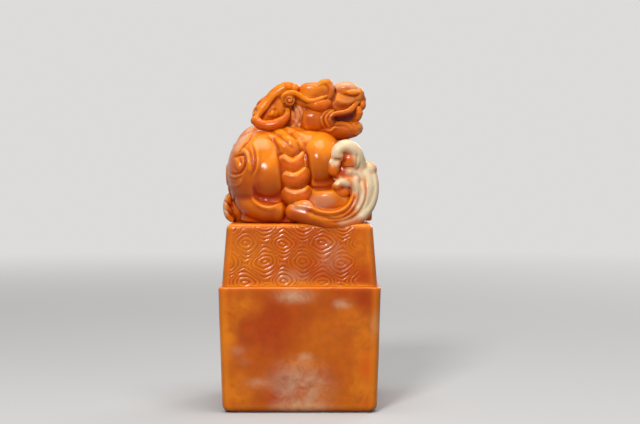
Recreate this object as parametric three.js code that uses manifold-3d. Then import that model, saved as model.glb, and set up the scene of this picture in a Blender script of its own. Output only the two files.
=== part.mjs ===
// A carved stone seal: a square block that carries the seal face, a tapered brocade collar, and a crouching
// horned beast that looks back over its rump and serves as the knob.
// Millimetres, +Z up. The origin is the centre of the seal face. The rump and tail face -Y, the chest
// faces +Y, and the head is turned to +X.
import * as THREE from "three";
import { mergeVertices } from "three/addons/utils/BufferGeometryUtils.js";
import Module from "manifold-3d";

const wasm = await Module();
wasm.setup();

// Block
const BLOCK_WIDTH = 48; // across the ledge
const BLOCK_FOOT_WIDTH = 45.6; // across the seal face
const BLOCK_HEIGHT = 37;
const BLOCK_CORNER = 2.4;
const BLOCK_FOOT_ROUND = 2.2;
const LEDGE_ROUND = 0.7;

// Collar
const COLLAR_LEDGE = 1.1; // width of the ledge round the foot of the collar
const COLLAR_LEAN = 1.4; // how far each side leans in towards the top
const COLLAR_HEIGHT = 18.5;
const COLLAR_CORNER = 2.2;
const COLLAR_TOP_ROUND = 1.5;
const COLLAR_HALF = BLOCK_WIDTH / 2 - COLLAR_LEDGE;
const TOP_HALF = COLLAR_HALF - COLLAR_LEAN; // half width of the top that the beast fills

// The carved groove that parts one form from the next
const SEAM = 0.3;

// The beast's places are counted from the middle of the collar's top, for a top of this half width. They and
// the swollen forms spread with the top, and the thickness of limbs, locks and bands stays as set.
const DRAWN_HALF = 21.5;
const SPREAD = TOP_HALF / DRAWN_HALF;

// Body. square is how far a form swells towards a box: 2 is round.
const TRUNK = { at: [-1.5, 2, 13], radii: [17, 16.5, 14.2], square: 2.6 };
const FOOT_PLATE = { at: [-0.6, -1, 2], radii: [17.6, 17.2, 2.4], square: 5 };
const RUMP = { at: [-1, -8, 12.6], radii: [15.5, 10.4, 12], square: 2.8 };
const LOIN = { at: [1.5, -8.6, 22.4], radii: [7.5, 8.2, 5.4], square: 2.3 };
const WITHERS = { at: [-3.4, -4, 22], radii: [9.5, 11, 7.4], square: 2.2 };
const TAIL_BED = { at: [8.5, -13, 5.6], radii: [9.5, 6.6, 5.6], square: 2.7 };
const HAUNCH_LEFT = { at: [-10.6, -8.6, 15.2], radii: [8.6, 12.2, 11.9], square: 2.3 };
const HAUNCH_RIGHT = { at: [6, -8, 18.4], radii: [7, 12.3, 8.7], square: 2.35 };
const KNEE_LEFT = { at: [-15.8, -7, 14.6], radii: [6.3, 10.8, 10.2], square: 2.2 };
const KNEE_RIGHT = { at: [12.6, -3.4, 13.6], radii: [6.6, 8.8, 8.6], square: 2.3 };
const SHOULDER_LEFT = { at: [-12.4, 8, 18], radii: [9.2, 9.5, 12.2], square: 2.1 };
const SHOULDER_RIGHT = { at: [11.2, 8, 15.4], radii: [9, 9, 11], square: 2.1 };
const CHEST = { at: [-1.5, 13, 14.5], radii: [9.5, 7.6, 11.5], square: 2 };
const HOCK_RIGHT = { at: [9.2, -16.4, 7.2], radii: [6.2, 4.1, 3.3], square: 2.5 };

// The volute on the left knee: where it lies on the knee, in radians, and how it winds
const KNEE_VOLUTE = { bearing: -2.16, tilt: 0.1, start: -0.7, reach: 0.5, turns: 1.5, ridge: 0.9 };

// Legs. Each line is the middle of a limb, from its root to its end.
const SHANK_LEFT = [
  [-16.6, -6, 12],
  [-16.8, -10, 8.4],
  [-14.6, -14.4, 5.7],
  [-10.8, -16.8, 4.2],
  [-7, -17.4, 3.9],
];
const SHANK_RADII = [3.2, 3.6, 3.6, 3.6];
const FORELEG_LEFT = [
  [-12.5, 12, 13],
  [-13, 15.5, 8],
  [-11.6, 15.8, 3.6],
];
const FORELEG_RIGHT = [
  [10.5, 12, 12],
  [11.6, 15, 8],
  [10, 15.6, 3.6],
];
const FORELEG_RADIUS = 3.8;
const ELBOW_SWELL = 0.6;
const PAW_SIZE = 4.3;
const TOES = 4;
const TOE_RADIUS = 1.35;
const TOE_HEIGHT = 2.7; // half height
const TOE_DROP = 0.9; // below the middle of the paw
const TOE_FAN = 6.4; // from the first toe to the last
const TOE_REACH = 4; // of the middle toes
const TOE_FALL_BACK = 1; // of the outer toes
// Each paw's middle, and the direction of its toes in radians
const HIND_PAW_LEFT = { at: [-17.8, -2.4, 4.6], heading: 3.1, tall: 1.45 };
const HIND_PAW_RIGHT = { at: [17.6, -3, 3.4], heading: 0.25, tall: 1 };
const FORE_PAW_LEFT = { at: [-9.6, 17.4, 3], heading: 1.7, tall: 1 };
const FORE_PAW_RIGHT = { at: [7.6, 17.4, 3], heading: 1.45, tall: 1 };

// Spine: three rolls that sag in their middles. at is the middle, and lean is how far the right end is up.
const PLATE_UPPER = { at: [-2.2, -17.9, 17], lean: 0.8 };
const PLATE_MIDDLE = { at: [-1.6, -18.7, 12.9], lean: 1.2 };
const PLATE_LOWER = { at: [-0.9, -19, 8], lean: 0.2 };
const PLATE_HALF_WIDTH = 3.5;
const PLATE_SAG = 1.6;
const PLATE_BEND = 1; // how far its ends lie behind its middle
const PLATE_RADII = [0.9, 2.1, 2.2, 1.9, 0.9];
const PLATE_FLAT = 0.8;
const PLATE_FACING = [0, -1, -0.5];

// Tail: two lines between which its bands lie, from the root to the end
const TAIL_OUTER_LINE = [
  [-1.5, -18.6, 3.4],
  [3.9, -19.8, 1.9],
  [8.4, -20.2, 0.6],
  [13.4, -19.8, 0.5],
  [17.1, -18.6, 1.7],
  [19.8, -17, 4.4],
  [21.2, -15.4, 8.1],
  [21.4, -14, 11.9],
  [20.5, -12.8, 15.4],
];
const TAIL_INNER_LINE = [
  [0.4, -19.8, 5.6],
  [3.1, -20.8, 4.3],
  [6, -21.2, 2.9],
  [9.5, -21.4, 2.4],
  [12.8, -21, 2.9],
  [15.2, -20.3, 4.7],
  [16.7, -19.6, 7.3],
  [16.9, -19, 9.6],
  [15.7, -18.9, 11.4],
];
const TAIL_OUTER_RADII = [2.7, 2.5, 2.1, 2, 2, 2, 2];
const TAIL_MIDDLE_RADII = [1.5, 1.35, 1.3, 1.3, 1.2];
const TAIL_INNER_RADII = [1.5, 1.2, 1.15, 1.1, 1.05];
const TAIL_MIDDLE_SHARE = 0.52; // of the way from the inner line to the outer one
// The stone that is left standing behind the bands
const TAIL_BACKING = [
  [3, -17, 3],
  [12.8, -16.6, 2.6],
  [17.6, -13.4, 5.4],
  [19, -10.4, 10],
  [18.6, -9.2, 14],
];
const TAIL_BACKING_RADII = [3, 3.2, 3.5, 3.4, 2.6];

// Curls at the tail's end
const CROWN_LINE = [
  [18.3, -15, 14.6],
  [18.2, -15.6, 17.4],
  [17.6, -16.2, 20],
  [16.3, -16.8, 21.9],
  [14.5, -17.4, 22.9],
  [12.6, -18, 22.7],
  [11.2, -18.6, 21.6],
  [10.7, -18.8, 20.4],
];
const CROWN_RADII = [1, 1.25, 1.9, 2.05, 1.4];
const CROWN_TIP = { at: [11.8, -18.8, 20.1], radii: [1.5, 1.3, 1.4] };
const CROWN_FILL = { at: [15.2, -15.6, 18.8], radii: [2.5, 2.2, 3] };
const CROWN_ROOT = { at: [14.5, -15.4, 16.6], radii: [2.8, 2.2, 2.6] };
const SIDE_CURL_BALL = { at: [9.9, -18.6, 16], radii: [1.9, 1.7, 2] };
const SIDE_CURL_LOBE_LEFT = { at: [9.4, -18.8, 17.8], radii: [1.3, 1.2, 1.3] };
const SIDE_CURL_LOBE_RIGHT = { at: [10.9, -18.8, 17.6], radii: [1.2, 1.2, 1.2] };
const SIDE_CURL_STEM = [
  [15.4, -16, 13.6],
  [13.4, -16.2, 14],
  [11.4, -17, 15],
];
const SIDE_CURL_STEM_RADIUS = 2.3;
const INNER_CURL = { at: [13, -18.4, 9.6], outer: 2.2, radius: 1.2 };

// Mane
const NECK_LINE = [
  [-4, 3, 22],
  [-3, 0, 28],
  [1, -2.5, 33],
];
const NECK_RADII = [7.2, 7.2, 6];
const SCROLL_ROLL = [
  [-13.4, -9, 30.8],
  [-11.9, -9.6, 29.6],
  [-9.8, -10.2, 29.1],
  [-7.4, -10.4, 29.5],
  [-5.3, -10.2, 30.7],
  [-4, -9.6, 32.3],
  [-3.7, -8.8, 33.8],
];
const SCROLL_ROLL_RADII = [1.5, 1.7, 1.65, 1.2, 0.8];
const SCROLL_STRAP = [
  [-13.7, -8.2, 30.8],
  [-13.1, -8, 32.2],
  [-11.9, -7.8, 34.1],
  [-9.9, -7.6, 36.4],
  [-7.9, -7.6, 38.5],
  [-5.8, -7.6, 40],
  [-3.8, -7.6, 40.8],
  [-2.5, -7.2, 40.5],
];
const SCROLL_STRAP_RADII = [1.4, 1.5, 1.5, 1.6, 1.9, 1.5];
const SCROLL_DISH = { at: [-9.1, -4.6, 34], radii: [5.8, 3, 3.8], turn: [0, -0.7, 0] };
const SCROLL_CREST = { at: [-5.8, -5.4, 35.6], radii: [3.6, 2.8, 4.6] };
const SCROLL_BEAD = { at: [-8.4, -7, 33.1], radii: [1.4, 1.2, 1.2] };
const LOCK_RADII = [0.9, 1.1, 1];
const LOCK_UPPER = [
  [-13, -9.6, 28],
  [-10.2, -11.8, 27.4],
  [-7.7, -13.6, 26.4],
  [-5.6, -15.4, 24.2],
  [-3.6, -16.6, 22.6],
];
const LOCK_LOWER = [
  [-5, -9.6, 29],
  [-2.7, -12, 27.4],
  [-0.4, -14.4, 25],
  [0.8, -16.2, 22.2],
];
const FAR_LOCK_RADII = [1, 1.8, 0.9];
const LOCK_FAR_UPPER = [
  [-3, 5.4, 37],
  [-7, 7.6, 33.6],
  [-8.6, 9.4, 29.4],
  [-6.6, 10.6, 26.6],
];
const LOCK_FAR_LOWER = [
  [0.6, 6, 33.6],
  [-1.6, 8.8, 30],
  [-1.4, 10.6, 26],
  [1.2, 11.6, 23.6],
];

// Head, turned about the vertical by HEAD_YAW. Its places are counted from HEAD_AT, and those of a paired
// part are given for its left side.
const HEAD_AT = [9.05, -4, 35];
const HEAD_YAW = THREE.MathUtils.degToRad(-3);
const CRANIUM = { at: [-5.2, 0, 2.2], radii: [6.6, 5.9, 4.9], square: 2 };
const BROW_SHELF = { at: [-4.6, 2.6, 4.4], radii: [4.9, 3, 2.9], square: 2.8 };
const CHEEK = { at: [-4.6, 2.4, -3.8], radii: [4.6, 3.7, 4], square: 2.8 };
const CHEEK_FRONT = { at: [-1.6, 1.8, -3.6], radii: [3.6, 3.9, 4], square: 2.3 };
const MUZZLE_LINE = [
  [-4, 0, 1.2],
  [0.3, 0, 1.6],
  [4, 0, 2.3],
  [7.2, 0, 2.8],
  [9, 0, 2.3],
];
const MUZZLE_RADII = [4.4, 4.2, 3.9, 2.9, 1.9];
const NOSE_TIP = { at: [9.9, 0, 0.8], radii: [1.2, 2, 1.7] };
const MOUTH_LINE = [
  [2, 0, -4.4],
  [6, 0, -3.6],
  [13, 0, -2.4],
];
const MOUTH_RADII = [0.9, 1.9, 3];
const MOUTH_FLAT = 0.85;
const MOUTH_GAP = { at: [7.6, 0, -4.6], radii: [7, 7, 2.6] };
const TONGUE = { at: [3.6, 0, -4.2], radii: [4, 1.3, 2.6] };
const JAW_LINE = [
  [-3, 0, -6.2],
  [0.6, 0, -7],
  [4, 0, -7.4],
  [7.2, 0, -7.2],
];
const JAW_RADII = [4.5, 4.2, 3.6, 2.6];
const JAW_FLAT = 0.68;
const CHIN = { at: [8.4, 0, -6.2], radii: [1.7, 2.5, 1.8] };
const LIP_LINE = [
  [0.4, 5, -4.8],
  [0.1, 5.2, -3.5],
  [1.6, 4.9, -2.3],
  [4.5, 4.4, -1.9],
  [6.6, 3.5, -0.5],
  [8.9, 1.9, 1.6],
];
const LIP_RADII = [0.6, 0.75, 0.75, 0.55];
const NOSE_BRIDGE = { at: [4.8, 0, 5.4], radii: [3.9, 3.2, 2.4] };
const NOSTRIL = { at: [6.7, 2.2, 4.4], radii: [2.4, 1.5, 1.3] };
const EYE = { at: [-3.4, 5.1, 4.2], radii: [1.8, 1.5, 1.5] };
const BROW_LINE = [
  [-8.2, 5.1, 3.3],
  [-5.2, 5.1, 5.3],
  [-1.9, 4.2, 7.6],
  [-0.1, 4.1, 6.7],
  [0.2, 4.4, 4.2],
  [-0.5, 4.5, 2.9],
];
const BROW_RADII = [0.5, 0.7, 1.2, 1.2, 0.9];
const HORN_LINE = [
  [-0.9, 5.2, 3],
  [-4.2, 6, 1.8],
  [-6.4, 6.1, 1.7],
  [-9.4, 6.3, 3.3],
  [-11.2, 6.4, 4],
];
const HORN_RADIUS = 0.9;
const HORN_COIL = { at: [-12.3, 6.4, 2.1], outer: 1.8, from: Math.PI / 2, turns: 0.8 };
const EAR = { at: [-3.3, 5.4, 0.4], radii: [3.5, 1.7, 1.8], turn: [0, -0.2, 0] };
const FANG_ROOT = [8.5, 1.9, -0.2];
const FANG_LENGTH = 2.8;
const FANG_RADII = [1, 0.5];
const GUM = { at: [8.1, 0, 0.2], radii: [1.2, 2.5, 0.9] };

const STONE = {
  red: { color: 0xc8500f, roughness: 0.25, metalness: 0 },
  amber: { color: 0xd9701c, roughness: 0.25, metalness: 0 },
  cream: { color: 0xe6bd86, roughness: 0.28, metalness: 0 },
};

// Groups
const seal = new THREE.Group();
const beast = new THREE.Group();
beast.position.z = BLOCK_HEIGHT + COLLAR_HEIGHT;
const head = new THREE.Group();
head.position.set(HEAD_AT[0] * SPREAD, HEAD_AT[1] * SPREAD, HEAD_AT[2]);
head.rotation.z = HEAD_YAW;
beast.add(head);
seal.add(beast);
seal.updateMatrixWorld(true);

// A closed geometry as a solid, in the frame of the whole seal.
function solidOf(geometry, group) {
  const plain = geometry.index ? geometry.toNonIndexed() : geometry.clone();
  plain.deleteAttribute("normal");
  plain.deleteAttribute("uv");
  const merged = mergeVertices(plain.applyMatrix4(group.matrixWorld), 1e-4);
  const mesh = new wasm.Mesh({
    numProp: 3,
    vertProperties: merged.attributes.position.array,
    triVerts: new Uint32Array(merged.index.array),
  });
  return new wasm.Manifold(mesh);
}

// The largest piece of a solid, so that a cut leaves no loose crumbs.
function largest(solid) {
  return solid.decompose().sort((a, b) => b.volume() - a.volume())[0];
}

function join(...solids) {
  return solids.reduce((sum, next) => sum.add(next));
}

// Rings of equally many points, closed at both ends by a fan on a tip point.
function skin(rings, tips) {
  const sides = rings[0].length;
  const points = [tips[0], ...rings.flat(), tips[1]];
  const faces = [];
  const at = (ring, side) => 1 + ring * sides + (side % sides);
  for (let side = 0; side < sides; side++) {
    faces.push(0, at(0, side + 1), at(0, side));
    for (let ring = 0; ring < rings.length - 1; ring++) {
      faces.push(at(ring, side), at(ring, side + 1), at(ring + 1, side + 1));
      faces.push(at(ring, side), at(ring + 1, side + 1), at(ring + 1, side));
    }
    faces.push(points.length - 1, at(rings.length - 1, side), at(rings.length - 1, side + 1));
  }
  return new THREE.BufferGeometry().setFromPoints(points).setIndex(faces);
}

// A square prism with rounded corners, whose half width and corner radius follow its height.
function roundedPrism(levels) {
  const rings = levels.map(({ half, corner, z }) => {
    const flat = half - corner;
    const outline = new THREE.Shape()
      .moveTo(flat, -half)
      .absarc(flat, -flat, corner, -Math.PI / 2, 0)
      .absarc(flat, flat, corner, 0, Math.PI / 2)
      .absarc(-flat, flat, corner, Math.PI / 2, Math.PI)
      .absarc(-flat, -flat, corner, Math.PI, 1.5 * Math.PI);
    return outline.getPoints(3).map((p) => new THREE.Vector3(p.x, p.y, z));
  });
  const end = (level) => new THREE.Vector3(0, 0, level.z);
  return skin(rings, [end(levels[0]), end(levels[levels.length - 1])]);
}

// What a tool makes in one group's frame, with places spread sideways. Every tool can grow its shape by a
// margin. about is a place that the others of a small form are counted from, so they keep their distances.
function toolsFor(group, spread) {
  const placed = ([x, y, z], about) => {
    const place = about ?? [x, y, z];
    const spot = new THREE.Vector3(place[0] * spread, place[1] * spread, place[2]);
    return about ? spot.add(new THREE.Vector3(x, y, z)) : spot;
  };

  // An ellipsoid, turned by three angles in radians and swollen towards a box by square.
  function ball({ at, about, radii, turn = [0, 0, 0], square = 2 }, grow, sides = 12) {
    const shape = new THREE.SphereGeometry(1, sides, Math.round(sides * 0.6));
    shape.rotateX(Math.PI / 2);
    const place = shape.attributes.position;
    for (let i = 0; i < place.count; i++) {
      const point = new THREE.Vector3().fromBufferAttribute(place, i);
      const reach = point.toArray().reduce((sum, value) => sum + Math.abs(value) ** square, 0);
      point.divideScalar(reach ** (1 / square));
      place.setXYZ(i, ...point.toArray());
    }
    shape.scale(radii[0] * spread + grow, radii[1] * spread + grow, radii[2] + grow);
    shape.applyMatrix4(new THREE.Matrix4().makeRotationFromEuler(new THREE.Euler(...turn)));
    shape.translate(...placed(at, about).toArray());
    return solidOf(shape, group);
  }

  // A round-ended strand along a smooth curve. radii run from its start to its end, and flat is its
  // thickness along out, the way it faces, as a share of its width.
  function strand(points, radii, grow, { about, out = [0, -1, 0], flat = 1, sides = 7, steps = 8 } = {}) {
    const route = points.map((point) => placed(point, about));
    const path = new THREE.CatmullRomCurve3(route, false, "centripetal");
    const facing = new THREE.Vector3(...out);
    const radiusAt = (u) => {
      const place = u * (radii.length - 1);
      const low = Math.min(Math.floor(place), radii.length - 2);
      return THREE.MathUtils.lerp(radii[low], radii[low + 1], place - low) + grow;
    };
    const ring = (u, ahead, share) => {
      const tangent = path.getTangentAt(u);
      const across = new THREE.Vector3().crossVectors(tangent, facing).normalize();
      const up = new THREE.Vector3().crossVectors(tangent, across).normalize();
      const radius = radiusAt(u) * share;
      const centre = path.getPointAt(u).addScaledVector(tangent, ahead * radiusAt(u));
      return Array.from({ length: sides }, (_, side) => {
        const angle = (2 * Math.PI * side) / sides;
        const rise = radiusAt(u) * share * (flat + ((1 - flat) * grow) / radiusAt(u));
        return centre
          .clone()
          .addScaledVector(across, radius * Math.cos(angle))
          .addScaledVector(up, rise * Math.sin(angle));
      });
    };
    const tip = (u, ahead) =>
      path.getPointAt(u).addScaledVector(path.getTangentAt(u), ahead * radiusAt(u));
    const shoulder = Math.SQRT1_2; // one ring half way round each rounded end
    const rings = [
      ring(0, -shoulder, shoulder),
      ...Array.from({ length: steps + 1 }, (_, i) => ring(i / steps, 0, 1)),
      ring(1, shoulder, shoulder),
    ];
    return solidOf(skin(rings, [tip(0, -1), tip(1, 1)]), group);
  }

  // A volute in the XZ plane of the group: a rim that winds inwards round a button.
  function volute({ at, outer, from = 0, turns = 0.85 }, radius, grow, out = [0, -1, 0]) {
    const steps = 8;
    const tightening = 0.35; // share of the radius that the rim has wound in at its end
    const rim = Array.from({ length: steps }, (_, i) => {
      const share = i / (steps - 1);
      const angle = from + share * turns * 2 * Math.PI;
      const reach = outer * (1 - tightening * share);
      return [reach * Math.cos(angle), 0, reach * Math.sin(angle)];
    });
    const button = { at, radii: [outer * 0.5, radius * 1.1, outer * 0.5] };
    return join(
      strand(rim, [radius, radius * 0.8], grow, { about: at, out, steps: 7, sides: 5 }),
      ball(button, grow, 6),
    );
  }

  return { ball, strand, volute };
}

const body = toolsFor(beast, SPREAD);
const face = toolsFor(head, 1);

// Half width of the block's tapering side at a height.
function blockHalf(z) {
  return THREE.MathUtils.lerp(BLOCK_FOOT_WIDTH, BLOCK_WIDTH, z / BLOCK_HEIGHT) / 2;
}

function block() {
  const steps = [0, 1, 2, 3].map((i) => (i * Math.PI) / 6);
  const foot = steps.map((a) => {
    const inset = BLOCK_FOOT_ROUND * (1 - Math.sin(a));
    const z = BLOCK_FOOT_ROUND * (1 - Math.cos(a));
    return { half: blockHalf(z) - inset, corner: BLOCK_CORNER, z };
  });
  const ledge = steps.map((a) => {
    const inset = LEDGE_ROUND * (1 - Math.cos(a));
    const z = BLOCK_HEIGHT - LEDGE_ROUND * (1 - Math.sin(a));
    return { half: blockHalf(z) - inset, corner: BLOCK_CORNER, z };
  });
  return solidOf(roundedPrism([...foot, ...ledge]), seal);
}

// Half width of the collar's tapering side at a height over the ledge.
function collarHalf(rise) {
  return THREE.MathUtils.lerp(COLLAR_HALF, TOP_HALF, rise / COLLAR_HEIGHT);
}

function collar(grow) {
  const top = [0, 1, 2, 3].map((i) => {
    const a = (i * Math.PI) / 6;
    const rise = COLLAR_HEIGHT - COLLAR_TOP_ROUND * (1 - Math.sin(a));
    const inset = COLLAR_TOP_ROUND * (1 - Math.cos(a));
    return { half: collarHalf(rise) - inset + grow, corner: COLLAR_CORNER, z: BLOCK_HEIGHT + rise + grow };
  });
  const foot = { half: collarHalf(0) + grow, corner: COLLAR_CORNER, z: BLOCK_HEIGHT };
  return solidOf(roundedPrism([foot, ...top]), seal);
}

function torso(grow) {
  const masses = [TRUNK, FOOT_PLATE, RUMP, LOIN, WITHERS, TAIL_BED];
  return join(...masses.map((mass) => body.ball(mass, grow)));
}

// The left thigh: the round of the knee, and the shank that folds forward beneath the haunch.
function thighLeft(grow) {
  return join(
    body.ball(KNEE_LEFT, grow, 13),
    body.strand(SHANK_LEFT, SHANK_RADII, grow),
  );
}

function foreleg(line, grow) {
  const radii = [FORELEG_RADIUS + ELBOW_SWELL, FORELEG_RADIUS, FORELEG_RADIUS];
  return body.strand(line, radii, grow, { sides: 9, steps: 5 });
}

// A paw: a rounded foot with a fan of toes at its front.
function paw({ at, heading, tall }, grow) {
  const ahead = [Math.cos(heading), Math.sin(heading)];
  const aside = [-ahead[1], ahead[0]];
  const toes = Array.from({ length: TOES }, (_, i) => {
    const share = i / (TOES - 1) - 0.5;
    const spread = share * TOE_FAN;
    const reach = TOE_REACH - 2 * TOE_FALL_BACK * Math.abs(share);
    const x = ahead[0] * reach + aside[0] * spread;
    const y = ahead[1] * reach + aside[1] * spread;
    const radii = [TOE_RADIUS, TOE_RADIUS, TOE_HEIGHT * tall];
    return body.ball({ at: [x, y, -TOE_DROP], about: at, radii }, grow, 5);
  });
  return join(body.ball({ at, radii: [PAW_SIZE, PAW_SIZE, PAW_SIZE] }, grow, 7), ...toes);
}

// One roll of the spine, sagging between the haunches, with its upper edge the proudest.
function spinePlate({ at, lean }, grow) {
  const line = [-1, -0.5, 0, 0.5, 1].map((share) => [
    share * PLATE_HALF_WIDTH,
    share ** 2 * PLATE_BEND,
    share ** 2 * PLATE_SAG + share * lean,
  ]);
  const shape = { about: at, out: PLATE_FACING, flat: PLATE_FLAT, sides: 9 };
  return body.strand(line, PLATE_RADII, grow, shape);
}

// The spiral ridge on the left knee.
function kneeVolute(grow) {
  const { bearing, tilt, start, reach, turns, ridge } = KNEE_VOLUTE;
  const steps = 18;
  const tightening = 0.86; // share of the reach that the ridge has wound in at its end
  const out = new THREE.Vector3(
    Math.cos(tilt) * Math.cos(bearing),
    Math.cos(tilt) * Math.sin(bearing),
    Math.sin(tilt),
  );
  const across = new THREE.Vector3(0, 0, 1).cross(out).normalize();
  const up = new THREE.Vector3().crossVectors(out, across);
  const [wide, deep, tall] = KNEE_LEFT.radii;
  const radii = new THREE.Vector3(wide * SPREAD, deep * SPREAD, tall);
  const line = Array.from({ length: steps }, (_, i) => {
    const share = i / (steps - 1);
    const angle = start - share * turns * 2 * Math.PI;
    const swing = reach * (1 - tightening * share);
    const ray = out
      .clone()
      .addScaledVector(across, swing * Math.cos(angle))
      .addScaledVector(up, swing * Math.sin(angle))
      .normalize();
    return ray.multiply(radii).toArray();
  });
  const shape = { about: KNEE_LEFT.at, out: out.toArray(), sides: 5, steps: 20 };
  return body.strand(line, [0.5 * ridge, ridge, ridge, ridge], grow, shape);
}

// A line between the tail's inner and outer lines.
function tailLine(share) {
  return TAIL_INNER_LINE.map((inner, i) =>
    inner.map((value, axis) => THREE.MathUtils.lerp(value, TAIL_OUTER_LINE[i][axis], share)),
  );
}

function tailOuter(grow) {
  return join(
    body.strand(tailLine(1), TAIL_OUTER_RADII, grow, { steps: 12 }),
    body.strand(TAIL_BACKING, TAIL_BACKING_RADII, grow, { sides: 6, steps: 5 }),
  );
}

function tailMiddle(grow) {
  return body.strand(tailLine(TAIL_MIDDLE_SHARE), TAIL_MIDDLE_RADII, grow, { sides: 6, steps: 10 });
}

function tailInner(grow) {
  return join(
    body.strand(tailLine(0), TAIL_INNER_RADII, grow, { sides: 6, steps: 10 }),
    body.volute(INNER_CURL, INNER_CURL.radius, grow),
  );
}

function tailCrownCurl(grow) {
  const fills = [CROWN_TIP, CROWN_FILL, CROWN_ROOT].map((fill) => body.ball(fill, grow, 7));
  return join(body.strand(CROWN_LINE, CROWN_RADII, grow, { steps: 10 }), ...fills);
}

function tailSideCurl(grow) {
  const lobes = [SIDE_CURL_BALL, SIDE_CURL_LOBE_LEFT, SIDE_CURL_LOBE_RIGHT];
  const radii = [SIDE_CURL_STEM_RADIUS, SIDE_CURL_STEM_RADIUS];
  return join(
    body.strand(SIDE_CURL_STEM, radii, grow, { sides: 6, steps: 4 }),
    ...lobes.map((lobe) => body.ball(lobe, grow, 7)),
  );
}

// The big lock of mane that rolls up behind the head: a strap and a thick roll round a dish.
function maneScroll(grow) {
  return join(
    body.strand(SCROLL_ROLL, SCROLL_ROLL_RADII, grow, { sides: 6 }),
    body.strand(SCROLL_STRAP, SCROLL_STRAP_RADII, grow),
    ...[SCROLL_DISH, SCROLL_CREST, SCROLL_BEAD].map((fill) => body.ball(fill, grow, 8)),
  );
}

const lock = (line, radii) => (grow) => body.strand(line, radii, grow, { sides: 6 });

// A part of the face that is given for its left side, on the side of sign: 1 is left, -1 is right.
function onSide(form, sign) {
  const mirrored = ([x, y, z]) => [x, sign * y, z];
  return Array.isArray(form) ? form.map(mirrored) : { ...form, at: mirrored(form.at) };
}

const bothSides = (form, grow, sides) => [1, -1].map((sign) => face.ball(onSide(form, sign), grow, sides));

// The skull with the upper jaw, its roof arched over the open mouth.
function skull(grow) {
  const upper = join(
    face.ball(CRANIUM, grow, 11),
    ...bothSides(BROW_SHELF, grow, 9),
    ...bothSides(CHEEK, grow, 8),
    ...bothSides(CHEEK_FRONT, grow, 8),
    face.strand(MUZZLE_LINE, MUZZLE_RADII, grow, { out: [0, 0, 1], sides: 10, steps: 6 }),
    face.ball(NOSE_TIP, grow, 7),
  );
  const mouth = face.strand(MOUTH_LINE, MOUTH_RADII, -grow, { out: [0, 0, 1], flat: MOUTH_FLAT, steps: 5 });
  return upper.subtract(mouth.add(face.ball(MOUTH_GAP, -grow)));
}

function nose(grow) {
  return join(face.ball(NOSE_BRIDGE, grow, 9), ...bothSides(NOSTRIL, grow, 6));
}

function lowerJaw(grow) {
  return join(
    face.strand(JAW_LINE, JAW_RADII, grow, { out: [0, 0, 1], flat: JAW_FLAT, steps: 4 }),
    face.ball(CHIN, grow, 7),
    face.ball(TONGUE, grow, 7),
  );
}

const strip = (line, radii, steps) => (sign, grow) =>
  face.strand(onSide(line, sign), radii, grow, { out: [0, sign, 0], sides: 5, steps });

function horn(sign, grow) {
  const coil = face.volute(onSide(HORN_COIL, sign), HORN_RADIUS, grow, [0, sign, 0]);
  return strip(HORN_LINE, [0.7 * HORN_RADIUS, HORN_RADIUS, HORN_RADIUS], 6)(sign, grow).add(coil);
}

function fangs(grow) {
  const [x, y, z] = FANG_ROOT;
  const fang = (sign) => {
    const line = [
      [x, sign * y, z],
      [x, sign * y, z - FANG_LENGTH],
    ];
    return face.strand(line, FANG_RADII, grow, { sides: 5, steps: 1 });
  };
  return join(fang(1), fang(-1), face.ball(GUM, grow, 6));
}

// One form of the body, or a pair of forms of the face. make(grow) gives its solid.
const onBody = (name, stone, make) => ({ name, stone, group: beast, make });
const onHead = (name, stone, make) => ({ name, stone, group: head, make });
const pair = (name, stone, make) => [
  onHead(`${name}_left`, stone, (grow) => make(1, grow)),
  onHead(`${name}_right`, stone, (grow) => make(-1, grow)),
];
const swell = (mass, sides) => (grow) => body.ball(mass, grow, sides);

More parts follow.
